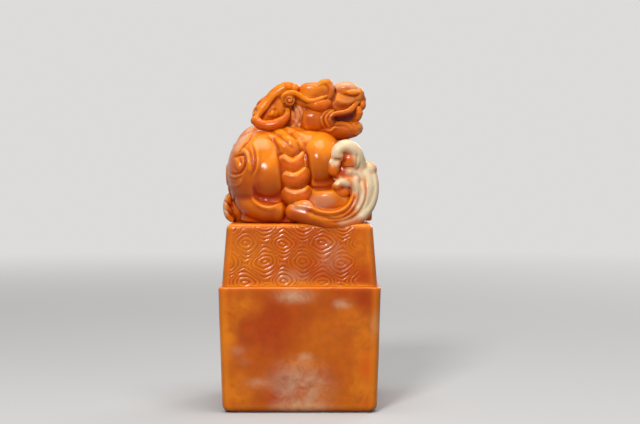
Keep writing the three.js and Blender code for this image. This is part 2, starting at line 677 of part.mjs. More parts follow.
// Every form of the knob, in carving order: each one is parted by a seam from all those before it.
const forms = [
  onBody("torso", "red", torso),
  onBody("neck", "amber", (grow) => body.strand(NECK_LINE, NECK_RADII, grow, { sides: 10, steps: 4 })),
  onHead("skull", "red", skull),
  onHead("lower_jaw", "red", lowerJaw),
  onBody("haunch_left", "red", swell(HAUNCH_LEFT, 14)),
  onBody("haunch_right", "red", swell(HAUNCH_RIGHT, 14)),
  onBody("shoulder_left", "amber", swell(SHOULDER_LEFT, 12)),
  onBody("shoulder_right", "amber", swell(SHOULDER_RIGHT, 12)),
  onBody("chest", "amber", swell(CHEST, 12)),
  onBody("thigh_left", "red", thighLeft),
  onBody("thigh_right", "red", swell(KNEE_RIGHT, 12)),
  onBody("hock_right", "amber", swell(HOCK_RIGHT, 10)),
  onBody("hind_paw_left", "amber", (grow) => paw(HIND_PAW_LEFT, grow)),
  onBody("hind_paw_right", "amber", (grow) => paw(HIND_PAW_RIGHT, grow)),
  onBody("foreleg_left", "red", (grow) => foreleg(FORELEG_LEFT, grow)),
  onBody("foreleg_right", "red", (grow) => foreleg(FORELEG_RIGHT, grow)),
  onBody("fore_paw_left", "amber", (grow) => paw(FORE_PAW_LEFT, grow)),
  onBody("fore_paw_right", "amber", (grow) => paw(FORE_PAW_RIGHT, grow)),
  onBody("spine_plate_1", "red", (grow) => spinePlate(PLATE_UPPER, grow)),
  onBody("spine_plate_2", "red", (grow) => spinePlate(PLATE_MIDDLE, grow)),
  onBody("spine_plate_3", "red", (grow) => spinePlate(PLATE_LOWER, grow)),
  onBody("tail_outer", "cream", tailOuter),
  onBody("tail_middle", "amber", tailMiddle),
  onBody("tail_inner", "amber", tailInner),
  onBody("tail_crown_curl", "cream", tailCrownCurl),
  onBody("tail_side_curl", "cream", tailSideCurl),
  onBody("haunch_spiral_left", "amber", kneeVolute),
  onBody("mane_scroll", "red", maneScroll),
  onBody("mane_lock_upper", "amber", lock(LOCK_UPPER, LOCK_RADII)),
  onBody("mane_lock_lower", "amber", lock(LOCK_LOWER, LOCK_RADII)),
  onBody("mane_lock_far_upper", "amber", lock(LOCK_FAR_UPPER, FAR_LOCK_RADII)),
  onBody("mane_lock_far_lower", "amber", lock(LOCK_FAR_LOWER, FAR_LOCK_RADII)),
  ...pair("horn", "amber", horn),
  ...pair("brow", "amber", strip(BROW_LINE, BROW_RADII, 8)),
  ...pair("eye", "cream", (sign, grow) => face.ball(onSide(EYE, sign), grow, 8)),
  onHead("nose", "amber", nose),
  ...pair("upper_lip", "red", strip(LIP_LINE, LIP_RADII, 7)),
  ...pair("ear", "red", (sign, grow) => face.ball(onSide(EAR, sign), grow, 8)),
  onHead("fangs", "cream", fangs),
];

function addMesh(name, stone, group, solid) {
  const { vertProperties, triVerts } = solid.getMesh();
  const geometry = new THREE.BufferGeometry()
    .setAttribute("position", new THREE.BufferAttribute(new Float32Array(vertProperties), 3))
    .setIndex(new THREE.BufferAttribute(new Uint32Array(triVerts), 1))
    .applyMatrix4(group.matrixWorld.clone().invert());
  geometry.computeVertexNormals();
  const mesh = new THREE.Mesh(geometry, new THREE.MeshStandardMaterial(STONE[stone]));
  mesh.name = name;
  group.add(mesh);
}

addMesh("seal_block", "amber", seal, block());
addMesh("brocade_collar", "red", seal, collar(0));

const carved = [collar(SEAM)];
for (const { name, stone, group, make } of forms) {
  const solid = carved.reduce((rest, cutter) => rest.subtract(cutter), make(0));
  addMesh(name, stone, group, largest(solid));
  carved.push(make(SEAM));
}

export default seal;
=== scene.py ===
"""Dresses the carved stone seal: block, brocade collar and the crouching beast that is its knob."""

import functools
import math

import bmesh
import bpy
import numpy as np
from bpy.props import FloatProperty, FloatVectorProperty, IntProperty, PointerProperty
from mathutils import Euler, Matrix, Vector, noise


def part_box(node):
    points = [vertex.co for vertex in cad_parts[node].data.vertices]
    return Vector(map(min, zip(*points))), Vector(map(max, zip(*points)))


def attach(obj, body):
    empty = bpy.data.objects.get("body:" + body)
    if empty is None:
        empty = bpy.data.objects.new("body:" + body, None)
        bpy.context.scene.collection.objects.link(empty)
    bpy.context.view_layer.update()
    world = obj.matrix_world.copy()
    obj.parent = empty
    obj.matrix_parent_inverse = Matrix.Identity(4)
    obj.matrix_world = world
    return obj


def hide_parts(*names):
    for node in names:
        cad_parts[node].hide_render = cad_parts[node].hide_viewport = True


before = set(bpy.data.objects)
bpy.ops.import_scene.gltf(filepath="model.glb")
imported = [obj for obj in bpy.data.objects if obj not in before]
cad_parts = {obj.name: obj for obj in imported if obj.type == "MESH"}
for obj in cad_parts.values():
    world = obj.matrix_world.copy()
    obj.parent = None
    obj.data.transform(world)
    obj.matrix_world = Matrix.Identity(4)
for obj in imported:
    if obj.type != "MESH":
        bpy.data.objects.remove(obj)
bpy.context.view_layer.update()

bl_info = {
    "name": "Carved Stone Seal",
    "version": (1, 0, 0),
    "blender": (4, 5, 0),
    "location": "View3D > Sidebar > Seal",
    "description": "Models and finishes a stone seal with a carved beast as its knob",
    "category": "Add Mesh",
}

MM = 0.001
BLOCK_HIGH = Vector(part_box("seal_block")[1]) / MM
COLLAR_LOW, COLLAR_HIGH = (Vector(corner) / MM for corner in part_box("brocade_collar"))
BEAST_FLOOR = COLLAR_HIGH.z  # the beast's heights are counted from the top of the collar, in mm

# The photograph: 640 x 424 px, seen from CAMERA_AT, in mm
IMAGE_WIDTH = 640
IMAGE_HEIGHT = 424
CAMERA_AT = Vector((6.0, -474.0, 72.0))
FOCAL_PX = 1539.5
HORIZON_PX = 167.7  # the image row at the camera's own height
SENSOR_WIDTH = 36.0


def seen(column, row, depth):
    """The point in mm at the plane y = depth that the photograph shows at this pixel."""
    reach = (depth - CAMERA_AT.y) / FOCAL_PX
    x = CAMERA_AT.x + (column - IMAGE_WIDTH / 2) * reach
    z = CAMERA_AT.z - (row - HORIZON_PX) * reach
    return Vector((x, depth, z))


def from_photo(points):
    """Pixels with a depth each, as points in mm."""
    return [seen(*point) for point in points]


def over_collar(points):
    """Points in mm over the top of the collar, as points in the seal's frame."""
    return [Vector(point) + Vector((0, 0, BEAST_FLOOR)) for point in points]


# Curves

LINE_SPACING = 1.2  # between the points of a drawn line, in its view's own unit


def smooth_path(points, steps):
    """A Catmull-Rom curve through the points, as steps + 1 evenly spread points."""
    line = [2 * points[0] - points[1], *points, 2 * points[-1] - points[-2]]
    fine = []
    per_span = 24
    for a, b, c, d in zip(line, line[1:], line[2:], line[3:]):
        bend = 2 * a - 5 * b + 4 * c - d
        twist = 3 * b - a - 3 * c + d
        for i in range(per_span):
            t = i / per_span
            fine.append(0.5 * ((2 * b) + (c - a) * t + bend * t**2 + twist * t**3))
    fine.append(points[-1].copy())
    walked = np.concatenate([[0], np.cumsum([(q - p).length for p, q in zip(fine, fine[1:])])])
    wanted = np.linspace(0, walked[-1], steps + 1)
    columns = [np.interp(wanted, walked, [p[axis] for p in fine]) for axis in range(len(points[0]))]
    return [Vector(values) for values in zip(*columns)], float(walked[-1])


def along(values, steps):
    """The values spread evenly over steps + 1 places."""
    return np.interp(np.linspace(0, len(values) - 1, steps + 1), range(len(values)), values)


@functools.lru_cache(maxsize=None)
def drawn_line(points):
    """A smooth line through flat points, as an array of close points."""
    corners = [Vector(point) for point in points]
    _, length = smooth_path(corners, 2)
    path, _ = smooth_path(corners, max(8, int(length / LINE_SPACING)))
    return np.array([tuple(point) for point in path])


# Modelling


def new_mesh(name, bm):
    """A mesh from a bmesh, which is used up."""
    mesh = bpy.data.meshes.new(name)
    bm.to_mesh(mesh)
    bm.free()
    return mesh


def new_object(name, data):
    """A new object in the scene."""
    made = bpy.data.objects.new(name, data)
    bpy.context.scene.collection.objects.link(made)
    return made


class Clay:
    """Closed lumps in one bmesh, in mm, that are fused into one carved form."""

    SPACING = 0.28  # between the beads of a strand, as a share of its widest radius
    WIDEST = 2.5  # a strand wider than this gets no wider spacing
    SMALL = 0.9  # beads up to this radius are made coarser

    def __init__(self):
        self.bm = bmesh.new()

    def lump(self, at, radii, turn=(0, 0, 0), square=2.0, detail=4):
        """An ellipsoid, swollen towards a box where square is over 2."""
        verts = bmesh.ops.create_icosphere(self.bm, subdivisions=detail, radius=1.0)["verts"]
        if square != 2.0:
            for vert in verts:
                vert.co /= sum(abs(value) ** square for value in vert.co) ** (1 / square)
        place = Matrix.Translation(at) @ Euler(turn).to_matrix().to_4x4() @ Matrix.Diagonal((*radii, 1))
        bmesh.ops.transform(self.bm, matrix=place, verts=verts)

    def strand(self, points, radii, out=(0, -1, 0), flat=1.0):
        """A row of close beads along a curve: a round-ended strand, flattened along out by flat."""
        _, length = smooth_path(points, 4)
        steps = max(6, int(length / (self.SPACING * min(max(radii), self.WIDEST))))
        path, _ = smooth_path(points, steps)
        facing = Vector(out).normalized()
        for i, (at, radius) in enumerate(zip(path, along(radii, steps))):
            ahead = (path[min(i + 1, steps)] - path[max(i - 1, 0)]).normalized()
            across = ahead.cross(facing).normalized()
            up = across.cross(ahead)
            turn = Matrix((ahead, across, up)).transposed().to_4x4()
            thin = radius * flat
            size = Matrix.Diagonal((min(radius, thin * 1.2), radius, thin, 1))
            detail = 3 if radius > self.SMALL else 2
            bead = bmesh.ops.create_icosphere(self.bm, subdivisions=detail, radius=1.0)
            bmesh.ops.transform(self.bm, matrix=Matrix.Translation(at) @ turn @ size, verts=bead["verts"])

    def fuse(self, name, voxel, smoothing):
        """One closed mesh from all lumps: remeshed, then smoothed so that the creases get small fillets."""
        mesh = new_mesh(name, self.bm)
        rough = new_object(name, mesh)
        remesh = rough.modifiers.new("Remesh", "REMESH")
        remesh.mode = "VOXEL"
        remesh.voxel_size = voxel
        soften = rough.modifiers.new("Smooth", "SMOOTH")
        soften.factor = 0.5
        soften.iterations = smoothing
        seen_by = bpy.context.evaluated_depsgraph_get()
        fused = bpy.data.meshes.new_from_object(rough.evaluated_get(seen_by))
        bpy.data.objects.remove(rough)
        bpy.data.meshes.remove(mesh)
        return fused


def rows_of(items, name):
    """A property of three numbers of all items of a mesh, as rows."""
    values = np.empty(len(items) * 3)
    items.foreach_get(name, values)
    return values.reshape(-1, 3)


def positions(mesh):
    return rows_of(mesh.vertices, "co")


def normals(mesh):
    return rows_of(mesh.vertex_normals, "vector")


def move_to(mesh, places):
    mesh.vertices.foreach_set("co", places.ravel())
    mesh.update()


def neighbour_means(mesh):
    """A function that gives, for points over the vertices, the mean of each vertex's neighbours."""
    edges = np.empty(len(mesh.edges) * 2, dtype=int)
    mesh.edges.foreach_get("vertices", edges)
    a, b = edges.reshape(-1, 2).T
    here = np.concatenate([a, b])
    there = np.concatenate([b, a])
    size = len(mesh.vertices)
    count = np.maximum(np.bincount(here, minlength=size), 1)

    def means(values):
        return np.stack([np.bincount(here, values[there, axis], size) / count for axis in range(3)], axis=1)

    return means


def photograph(places):
    """Where points in mm lie in the photograph, and the directions from the camera to them."""
    away = places - np.array(CAMERA_AT)
    reach = away[:, 1] / FOCAL_PX
    flat = np.stack([IMAGE_WIDTH / 2 + away[:, 0] / reach, HORIZON_PX - away[:, 2] / reach], axis=1)
    return flat, away / np.linalg.norm(away, axis=1)[:, None]


def drawing(toward):
    """A straight-on drawing in mm, looking along toward: (to the right, down) for every point."""
    ahead = Vector(toward).normalized()
    up = Vector((0, 0, 1)) if abs(ahead.z) < 0.9 else Vector((0, 1, 0))
    aside = ahead.cross(up).normalized()
    down = ahead.cross(aside)

    def look(places):
        flat = np.stack([places @ np.array(aside), places @ np.array(down)], axis=1)
        return flat, np.tile(np.array(ahead), (len(places), 1))

    return look


def upright(points):
    """Points of a drawing from one side, as (across, mm over the collar), as that drawing counts them."""
    return [(across, -(BEAST_FLOOR + rise)) for across, rise in points]


def shifted(points, across, down=0.0):
    """The same line, moved in its flat view."""
    return [(x + across, y + down) for x, y in points]


def spiral(at, outer, inner, turns, start):
    """A spiral line round at, from its outer end to its inner one. start is in turns."""
    line = []
    steps = round(12 * abs(turns)) + 2
    for i in range(steps + 1):
        share = i / steps
        angle = 2 * math.pi * (start + turns * share)
        reach = outer + (inner - outer) * share
        line.append((at[0] + reach * math.cos(angle), at[1] + reach * math.sin(angle)))
    return line


PHOTO_SKIN = 2.5  # how far behind the nearest surface, in mm, a stroke in the photograph still carves


def bell(distance, width):
    """1 on a line, falling smoothly to 0 at width from it."""
    return np.cos(0.5 * np.pi * np.clip(distance / width, 0, 1)) ** 2


def run_out(share, ends, least):
    """1 along a stroke, running out to least at its two ends."""
    return np.clip(np.minimum(share, 1 - share) / ends + least, 0, 1)


class Carving:
    """Moves the vertices of a fused mesh along strokes that are drawn on a flat view of it."""

    CELL = 1.5  # size of the view's cells, in which the nearest surface is looked for
    EDGE_ON, FULL_FACE = 0.02, 0.25  # how far a surface faces the viewer to be carved a little, and fully

    def __init__(self, mesh, look=photograph, skin=PHOTO_SKIN):
        self.mesh = mesh
        self.look = look
        self.skin = skin
        self.start()

    def start(self):
        self.places = positions(self.mesh)
        self.facing = normals(self.mesh)
        self.flat, ahead = self.look(self.places)
        self.push = np.zeros(len(self.places))
        if ahead is None:
            self.open = np.ones(len(self.places))
            return
        depth = np.einsum("ij,ij->i", self.places, ahead)
        cells = np.floor(self.flat / self.CELL).astype(int)
        cells -= cells.min(0)
        index = cells[:, 0] * (cells[:, 1].max() + 1) + cells[:, 1]
        nearest = np.full(index.max() + 1, np.inf)
        np.minimum.at(nearest, index, depth)
        front = -np.einsum("ij,ij->i", self.facing, ahead)
        turned = np.clip((front - self.EDGE_ON) / self.FULL_FACE, 0, 1)
        self.open = turned * (depth < nearest[index] + self.skin)

    def near(self, points, reach):
        """Distance from a smooth line, side (positive on its right hand) and share of the way along it."""
        path = drawn_line(tuple(tuple(point) for point in points))
        around = (self.flat > path.min(0) - reach) & (self.flat < path.max(0) + reach)
        picked = np.flatnonzero(np.all(around, axis=1) & (self.open > 0))
        spots = self.flat[picked]
        best = np.full(len(picked), np.inf)
        side = np.zeros(len(picked))
        share = np.zeros(len(picked))
        for number, (a, b) in enumerate(zip(path, path[1:])):
            way = b - a
            t = np.clip((spots - a) @ way / max(way @ way, 1e-9), 0, 1)
            gap = spots - a - t[:, None] * way
            distance = np.hypot(gap[:, 0], gap[:, 1])
            closer = distance < best
            best[closer] = distance[closer]
            side[closer] = np.sign(way[0] * gap[closer, 1] - way[1] * gap[closer, 0])
            share[closer] = (number + t[closer]) / (len(path) - 1)
        return picked, best, side, share

    def line(self, points, width, height, ends=0.15):
        """A ridge (height over 0) or a groove (under 0) that runs out at both ends."""
        picked, distance, _, share = self.near(points, width)
        self.push[picked] += height * run_out(share, ends, 0.15) * bell(distance, width)

    def step(self, points, reach, height, ends=0.12, edge=0.9):
        """Lifts the surface on the right hand of a line, sharply at the line and running out over reach."""
        picked, distance, side, share = self.near(points, reach)
        fade = run_out(share, ends, 0.1)
        signed = distance * side
        rise = np.clip((signed + edge) / (2 * edge), 0, 1)
        rise = rise * rise * (3 - 2 * rise)
        self.push[picked] += height * fade * rise * np.clip(1 - distance / reach, 0, 1) ** 1.5

    def pad(self, outline, rim, height):
        """Lifts what lies inside a closed outline into a pillow whose sides rise over the width rim."""
        ring = [Vector(point) for point in outline]
        picked, distance, _, _ = self.near([*ring, ring[0]], rim * 4)
        spots = self.flat[picked]
        inside = np.zeros(len(picked), dtype=bool)
        corners, _ = smooth_path([*ring, ring[0]], 60)
        for a, b in zip(corners, corners[1:]):
            crosses = (a.y > spots[:, 1]) != (b.y > spots[:, 1])
            with np.errstate(divide="ignore", invalid="ignore"):
                at = (b.x - a.x) * (spots[:, 1] - a.y) / (b.y - a.y) + a.x
            inside ^= crosses & (spots[:, 0] < at)
        climb = np.clip(distance / rim, 0, 1)
        self.push[picked] += np.where(inside, height * np.sqrt(1 - (1 - climb) ** 2), 0)

    def stain(self, name, points, width, amount):
        """Adds to a colour attribute along a line."""
        attribute = self.mesh.attributes.get(name) or self.mesh.attributes.new(name, "FLOAT", "POINT")
        values = np.empty(len(self.places))
        attribute.data.foreach_get("value", values)
        picked, distance, _, _ = self.near(points, width)
        soft = np.minimum(1, 1.15 * bell(distance, width))
        values[picked] = np.maximum(values[picked], amount * soft * self.open[picked])
        attribute.data.foreach_set("value", values)

    def apply(self, relax=2):
        """Moves the vertices, and evens out the steps between them."""
        moved = self.places + self.facing * (self.push * self.open)[:, None]
        means = neighbour_means(self.mesh)
        touched = (np.abs(self.push) > 1e-4)[:, None]
        for _ in range(relax):
            moved = np.where(touched, 0.6 * moved + 0.4 * means(moved), moved)
        move_to(self.mesh, moved)
        self.start()


def carve(mesh, groups, looks=(photograph,), skin=PHOTO_SKIN, relax=2):
    """Carves groups of lines, each (lines, width, height, ends), in each of the looks."""
    for look in looks:
        work = Carving(mesh, look, skin)
        for lines, *sizes in groups:
            for line in lines:
                work.line(line, *sizes)
        work.apply(relax)


# How deep or high, in mm, what counts as a full groove or ridge, a full valley and a full crest is
FULL_HOLLOW = 0.12
FULL_VALLEY = 0.8
FULL_CREST = 1.2


def hollows(mesh, rounds=14, wide_rounds=70):
    """Attributes, 0 to 1, of how deep each vertex lies in a groove or stands out on a ridge, and the same for
    the wider valleys and crests, where undersides count as valleys and tops as crests. The stone paints
    shade into the grooves, valleys and undersides and light onto the ridges, crests and tops from them."""
    means = neighbour_means(mesh)
    places = positions(mesh)
    facing = normals(mesh)
    smooth = places.copy()

    def store(name, values):
        attribute = mesh.attributes.new(name, "FLOAT", "POINT")
        attribute.data.foreach_set("value", np.clip(values, 0, 1))

    for number in range(1, wide_rounds + 1):
        smooth = 0.4 * smooth + 0.6 * means(smooth)
        depth = np.einsum("ij,ij->i", smooth - places, facing)
        if number == rounds:
            store("hollow", depth / FULL_HOLLOW)
            store("ridge", -depth / FULL_HOLLOW)
    # Painted top light: tops count as lit crests and undersides as shaded valleys
    painted_top_light = 0.5 * facing[:, 2]
    store("valley", depth / FULL_VALLEY - painted_top_light - 0.1)
    store("crest", -depth / FULL_CREST + 1.5 * painted_top_light - 0.15)


def finish_piece(name, mesh, nodes, slot):
    """Puts a mesh in mm into the scene as one piece of the seal, in metres."""
    mesh.transform(Matrix.Scale(MM, 4))
    mesh.shade_smooth()
    mesh.materials.clear()
    mesh.materials.append(stone())
    piece = new_object(name, mesh)
    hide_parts(*nodes)
    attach(piece, "root")
    return piece


# Stone

# Clouds that the photograph shows in the front of the block: tint, pixel, radii in mm, strength. The cream
# and milk clouds are the stone's own; the bright and glow ones near the block's sides and foot and the
# collar's corners are a painted glow of light through the edges, and the broad deep one a painted shade.
STONE_CLOUDS = (
    ("deep", (296, 330), (15, 20, 10), 0.12),
    ("bright", (240, 306), (10, 10, 6), 0.6),
    ("bright", (352, 318), (9, 10, 6), 0.5),
    ("bright", (236, 392), (8, 10, 9), 0.75),
    ("bright", (360, 392), (8, 10, 9), 0.75),
    ("bright", (300, 362), (14, 10, 5), 0.4),
    ("cream", (294, 296), (9, 5, 3.4), 0.5),
    ("cream", (342, 304), (4.4, 4, 2.4), 0.35),
    ("cream", (379, 328), (3.4, 8, 7), 0.55),
    ("milk", (236, 351), (4.4, 4, 2.4), 0.35),
    ("milk", (244, 362), (3.4, 4, 2.0), 0.3),
    ("cream", (306, 357), (4.4, 4, 2.0), 0.3),
    ("cream", (300, 386), (14, 12, 10.5), 0.45),
    ("cream", (256, 384), (5.4, 5, 2.6), 0.28),
    ("cream", (301, 409), (14, 8, 3.4), 0.5),
    ("bright", (364, 352), (5.0, 8, 13), 0.9),
    ("glow", (367, 366), (4.6, 7, 8), 0.8),
    ("bright", (226, 332), (5.0, 8, 12.0), 0.8),
    ("glow", (226, 409), (5.0, 6, 3.4), 0.6),
    ("glow", (372, 407), (5.0, 6, 3.4), 0.6),
    ("cream", (332, 256), (6.6, 5, 7.6), 0.3),
    ("cream", (292, 277), (8.0, 5, 3.6), 0.26),
    ("bright", (238, 250), (6, 6, 8), 0.6),
    ("bright", (366, 250), (6, 6, 8), 0.7),
)


# A painted highlight: the pinkish-grey sheen on top of the right hock
HOCK_HIGHLIGHT = (6.6, -20, BEAST_FLOOR + 7)
HOCK_HIGHLIGHT_RADII = (5, 5, 3.4)


class Paint:
    """The node tree of a material or a world, built from nothing."""

    def __init__(self, owner):
        owner.use_nodes = True
        self.tree = owner.node_tree
        self.tree.nodes.clear()

    def node(self, kind, out, inputs=(), **settings):
        """Adds a node and gives its output out. Inputs that are sockets are linked, others are set."""
        made = self.tree.nodes.new(kind)
        for name, value in settings.items():
            setattr(made, name, value)
        for name, value in dict(inputs).items():
            socket = made.inputs[name]
            if isinstance(value, bpy.types.NodeSocket):
                self.tree.links.new(value, socket)
            else:
                socket.default_value = (*value, 1) if socket.type == "RGBA" else value
        return None if out is None else made.outputs[out]

    def maths(self, operation, a, b):
        return self.node("ShaderNodeMath", 0, {0: a, 1: b}, operation=operation, use_clamp=True)

    def product(self, first, *others):
        for other in others:
            first = self.maths("MULTIPLY", first, other)
        return first

    def mix(self, factor, a, b, blend="MIX"):
        return self.node("ShaderNodeMix", 2, {0: factor, 6: a, 7: b}, data_type="RGBA", blend_type=blend)

    def ramp(self, source, low, high):
        """Greys between two stops, each given as (position, grey)."""
        made = self.tree.nodes.new("ShaderNodeValToRGB")
        for element, (position, grey) in zip(made.color_ramp.elements, (low, high)):
            element.position = position
            element.color = (grey, grey, grey, 1)
        self.tree.links.new(source, made.inputs["Fac"])
        return made.outputs["Color"]

    def fade(self, vector, start, end):
        """0 where the vector is as long as start, 1 where it is as long as end, and smooth between."""
        length = self.node("ShaderNodeVectorMath", "Value", {0: vector}, operation="LENGTH")
        limits = {"Value": length, "From Min": start, "From Max": end}
        return self.node("ShaderNodeMapRange", "Result", limits, interpolation_type="SMOOTHSTEP")

    def finish(self, kind, share, first, second):
        """The output node, with two surfaces mixed by a share."""
        surface = self.node("ShaderNodeMixShader", "Shader", {"Fac": share, 1: first, 2: second})
        self.node(kind, None, {"Surface": surface})


def stone():
    """The waxed stone, one material for all of it, so that its clouds and veins run from form to form. It
    also paints light onto tops, ridges and rims and shade into grooves, undersides and the open mouth.
    """
    name = "waxed_orange_stone"
    if name in bpy.data.materials:
        return bpy.data.materials[name]
    material = bpy.data.materials.new(name)
    paint = Paint(material)
    settings = bpy.context.scene.seal_stone
    tints = {tint: tuple(getattr(settings, tint)) for tint in SealStoneSettings.__annotations__}
    place = paint.node("ShaderNodeTexCoord", "Object")

    def clouds(low, high, scale, detail, rough, warp=0.0, shift=(0, 0, 0)):
        """Noise turned into greys between two stops."""
        spot = paint.node("ShaderNodeMapping", "Vector", {"Vector": place, "Location": shift})
        sizes = {"Scale": scale, "Detail": detail, "Roughness": rough, "Distortion": warp}
        noisy = paint.node("ShaderNodeTexNoise", "Fac", {"Vector": spot, **sizes})
        return paint.ramp(noisy, low, high) if low else noisy

    def patch(at, radii, edge):
        """1 inside an ellipsoid round at (mm), fading to 0 over the share edge of its radii."""
        sizes = {"Location": Vector(at) * MM, "Scale": Vector(radii) * MM}
        spot = paint.node("ShaderNodeMapping", "Vector", {"Vector": place, **sizes}, vector_type="TEXTURE")
        return paint.fade(spot, 1.0, 1.0 - edge)

    def attribute(name):
        return paint.node("ShaderNodeAttribute", "Fac", attribute_name=name)

    base = paint.mix(clouds((0.4, 0), (0.7, 0.6), 42, 3, 0.5, 0.4), tints["orange"], tints["bright"])
    base = paint.mix(clouds((0.45, 0), (0.75, 0.3), 30, 2, 0.5, 0.3, (3, 1, 2)), base, tints["deep"])
    base = paint.mix(1.0, base, clouds((0.4, 0.86), (0.62, 1), 260, 4, 0.6), "MULTIPLY")
    # A breath of milk all over, and the clouds of the block, of which the bright and glow ones near its sides
    # and foot are a painted glow and the broad deep one a painted shade
    milk = clouds((0.5, 0), (0.72, 0.8), 55, 4, 0.62, 0.5, (7, 2, 5))
    base = paint.mix(paint.product(milk, 0.02), base, tints["cream"])
    curdled = clouds((0.34, 0.15), (0.62, 1), 230, 5, 0.65, 0.6, (1, 4, 2))
    for tint, (column, row), radii, strength in STONE_CLOUDS:
        cloud = patch(seen(column, row, -BLOCK_HIGH.x), radii, 0.9)
        base = paint.mix(paint.product(cloud, curdled, strength), base, tints[tint])
    # painted highlight: the pinkish-grey sheen on top of the right hock
    hock = patch(HOCK_HIGHLIGHT, HOCK_HIGHLIGHT_RADII, 0.6)
    base = paint.mix(paint.product(hock, 0.6), base, tints["milk"])
    # What follows the forms: painted light on tops and crests and painted shade on undersides and in valleys,
    # the stains, a painted glow on the ridges and painted shade in the grooves, and last the painted shade in
    # the mouth
    pale = attribute("pale")
    hollow = attribute("hollow")
    coloured = paint.maths("SUBTRACT", 1.0, paint.product(pale, 0.8))
    for shares, tint in (
        # painted light on the tops and crests
        ((attribute("crest"), 0.6), "bright"),
        # painted shade on the undersides and in the valleys
        ((attribute("valley"), 0.9), "deep"),
        # the stains: the stone's own cream and orange, and painted highlights, glow and shade
        ((pale,), "cream"),
        ((attribute("bright"), 0.85), "bright"),
        ((attribute("glow"), 0.85), "glow"),
        ((attribute("deep"), 0.8), "deep"),
        # a painted glow on the ridges
        ((attribute("ridge"), coloured, 0.55), "bright"),
        # painted shade in the grooves
        ((hollow, coloured, 0.7), "deep"),
        # on the pale stone the grooves turn bright orange
        ((hollow, pale, 0.6), "bright"),
        # painted shade deep in the open mouth
        ((attribute("dark"),), "dark"),
    ):
        base = paint.mix(paint.product(*shares), base, tints[tint])

    grain = {"Strength": 0.2, "Distance": 0.1 * MM, "Height": clouds(None, None, 1400, 5, 0.6)}
    shader = paint.node("ShaderNodeBsdfPrincipled", "BSDF", {
        "Base Color": base,
        "Subsurface Weight": 0.4,
        "Subsurface Radius": (1.0, 0.3, 0.06),
        "Subsurface Scale": 2.4 * MM,
        "IOR": 1.45,
        "Specular IOR Level": 0.26,
        "Roughness": clouds((0.3, 0.15), (0.75, 0.27), 700, 4, 0.6),
        "Normal": paint.node("ShaderNodeBump", "Normal", grain),
    })
    paint.node("ShaderNodeOutputMaterial", None, {"Surface": shader})
    return material


# Settings


def colour(name, description, default):
    """The setting of one of the stone's colours."""
    return FloatVectorProperty(
        name=name, description=description, subtype="COLOR", default=default, min=0, max=1
    )


class SealStoneSettings(bpy.types.PropertyGroup):
    orange: colour("Orange", "The stone's main colour", (0.53, 0.064, 0.0004))
    # Deep red: the stone's darker clouds, and painted shade in creases, grooves, valleys and on undersides
    deep: colour("Deep red", "The stone in its creases and dark clouds", (0.38, 0.022, 0.0001))
    # Dark red: painted shade deep in the open mouth
    dark: colour("Dark red", "The stone deep in the open mouth", (0.22, 0.008, 0.0006))
    # Bright orange: the stone's lighter clouds, and painted light on tops, crests, ridges and rims
    bright: colour("Bright orange", "The stone's light clouds", (0.9, 0.27, 0.008))
    # Cream: the pale end of the tail and the pale clouds, and painted highlights on rims, the nose and the
    # knee
    cream: colour("Cream", "The pale end of the tail and the pale clouds", (0.8, 0.66, 0.44))
    # Red glow: a painted glow of light through the stone in the bellies of rolls and bands, and the stone's
    # own orange between the tail's cream
    glow: colour("Red glow", "The clear red-orange of the bellies of rolls and bands", (0.74, 0.095, 0.0008))
    # Milky pink: milky clouds in the block, and a painted highlight on the right hock
    milk: colour("Milky pink", "The greyish patch on the right hock", (0.6, 0.33, 0.2))


class SealShapeSettings(bpy.types.PropertyGroup):
    voxel: FloatProperty(
        name="Cell",
        description="Size in mm of the cells that fuse a carved form",
        default=0.32,
        min=0.15,
        max=1.0,
    )
    smoothing: IntProperty(
        name="Smoothing",
        description="Rounds of smoothing that fillet the creases",
        default=6,
        min=0,
        max=30,
    )
    relief: FloatProperty(
        name="Brocade relief",
        description="Height in mm of the ridges on the collar",
        default=0.3,
        min=0,
        max=1.0,
    )


# Block and collar


def wrapped(name, columns, rows, outline):
    """A grid wrapped into a closed tube with filled ends. outline gives a point for (turn, height) shares."""
    bm = bmesh.new()
    bmesh.ops.create_grid(bm, x_segments=columns, y_segments=rows, size=0.5)
    for vert in bm.verts:
        vert.co = outline(vert.co.x + 0.5, vert.co.y + 0.5)
    bmesh.ops.remove_doubles(bm, verts=bm.verts, dist=1e-4)
    rims = [edge for edge in bm.edges if edge.is_boundary]
    bmesh.ops.holes_fill(bm, edges=rims, sides=0)
    bmesh.ops.triangulate(bm, faces=[face for face in bm.faces if len(face.verts) > 4])
    bmesh.ops.recalc_face_normals(bm, faces=bm.faces)
    return new_mesh(name, bm)


def rounded_square(turn, half, corner):
    """The point at a share of the way round a square with round corners, its outward normal, and how far
    along its side it lies, counted from the side's middle."""
    flat = half - corner
    side = 2 * flat
    arc = 0.5 * math.pi * corner
    quarter, part = divmod((turn % 1.0) * 4, 1)
    walked = part * (side + arc)
    if walked <= side:
        at = Vector((walked - flat, -half, 0))
        normal = Vector((0, -1, 0))
    else:
        angle = (walked - side) / corner
        normal = Vector((math.sin(angle), -math.cos(angle), 0))
        at = Vector((flat, -flat, 0)) + corner * normal
    turn_by = Matrix.Rotation(quarter * math.pi / 2, 3, "Z")
    return turn_by @ at, turn_by @ normal, walked - flat


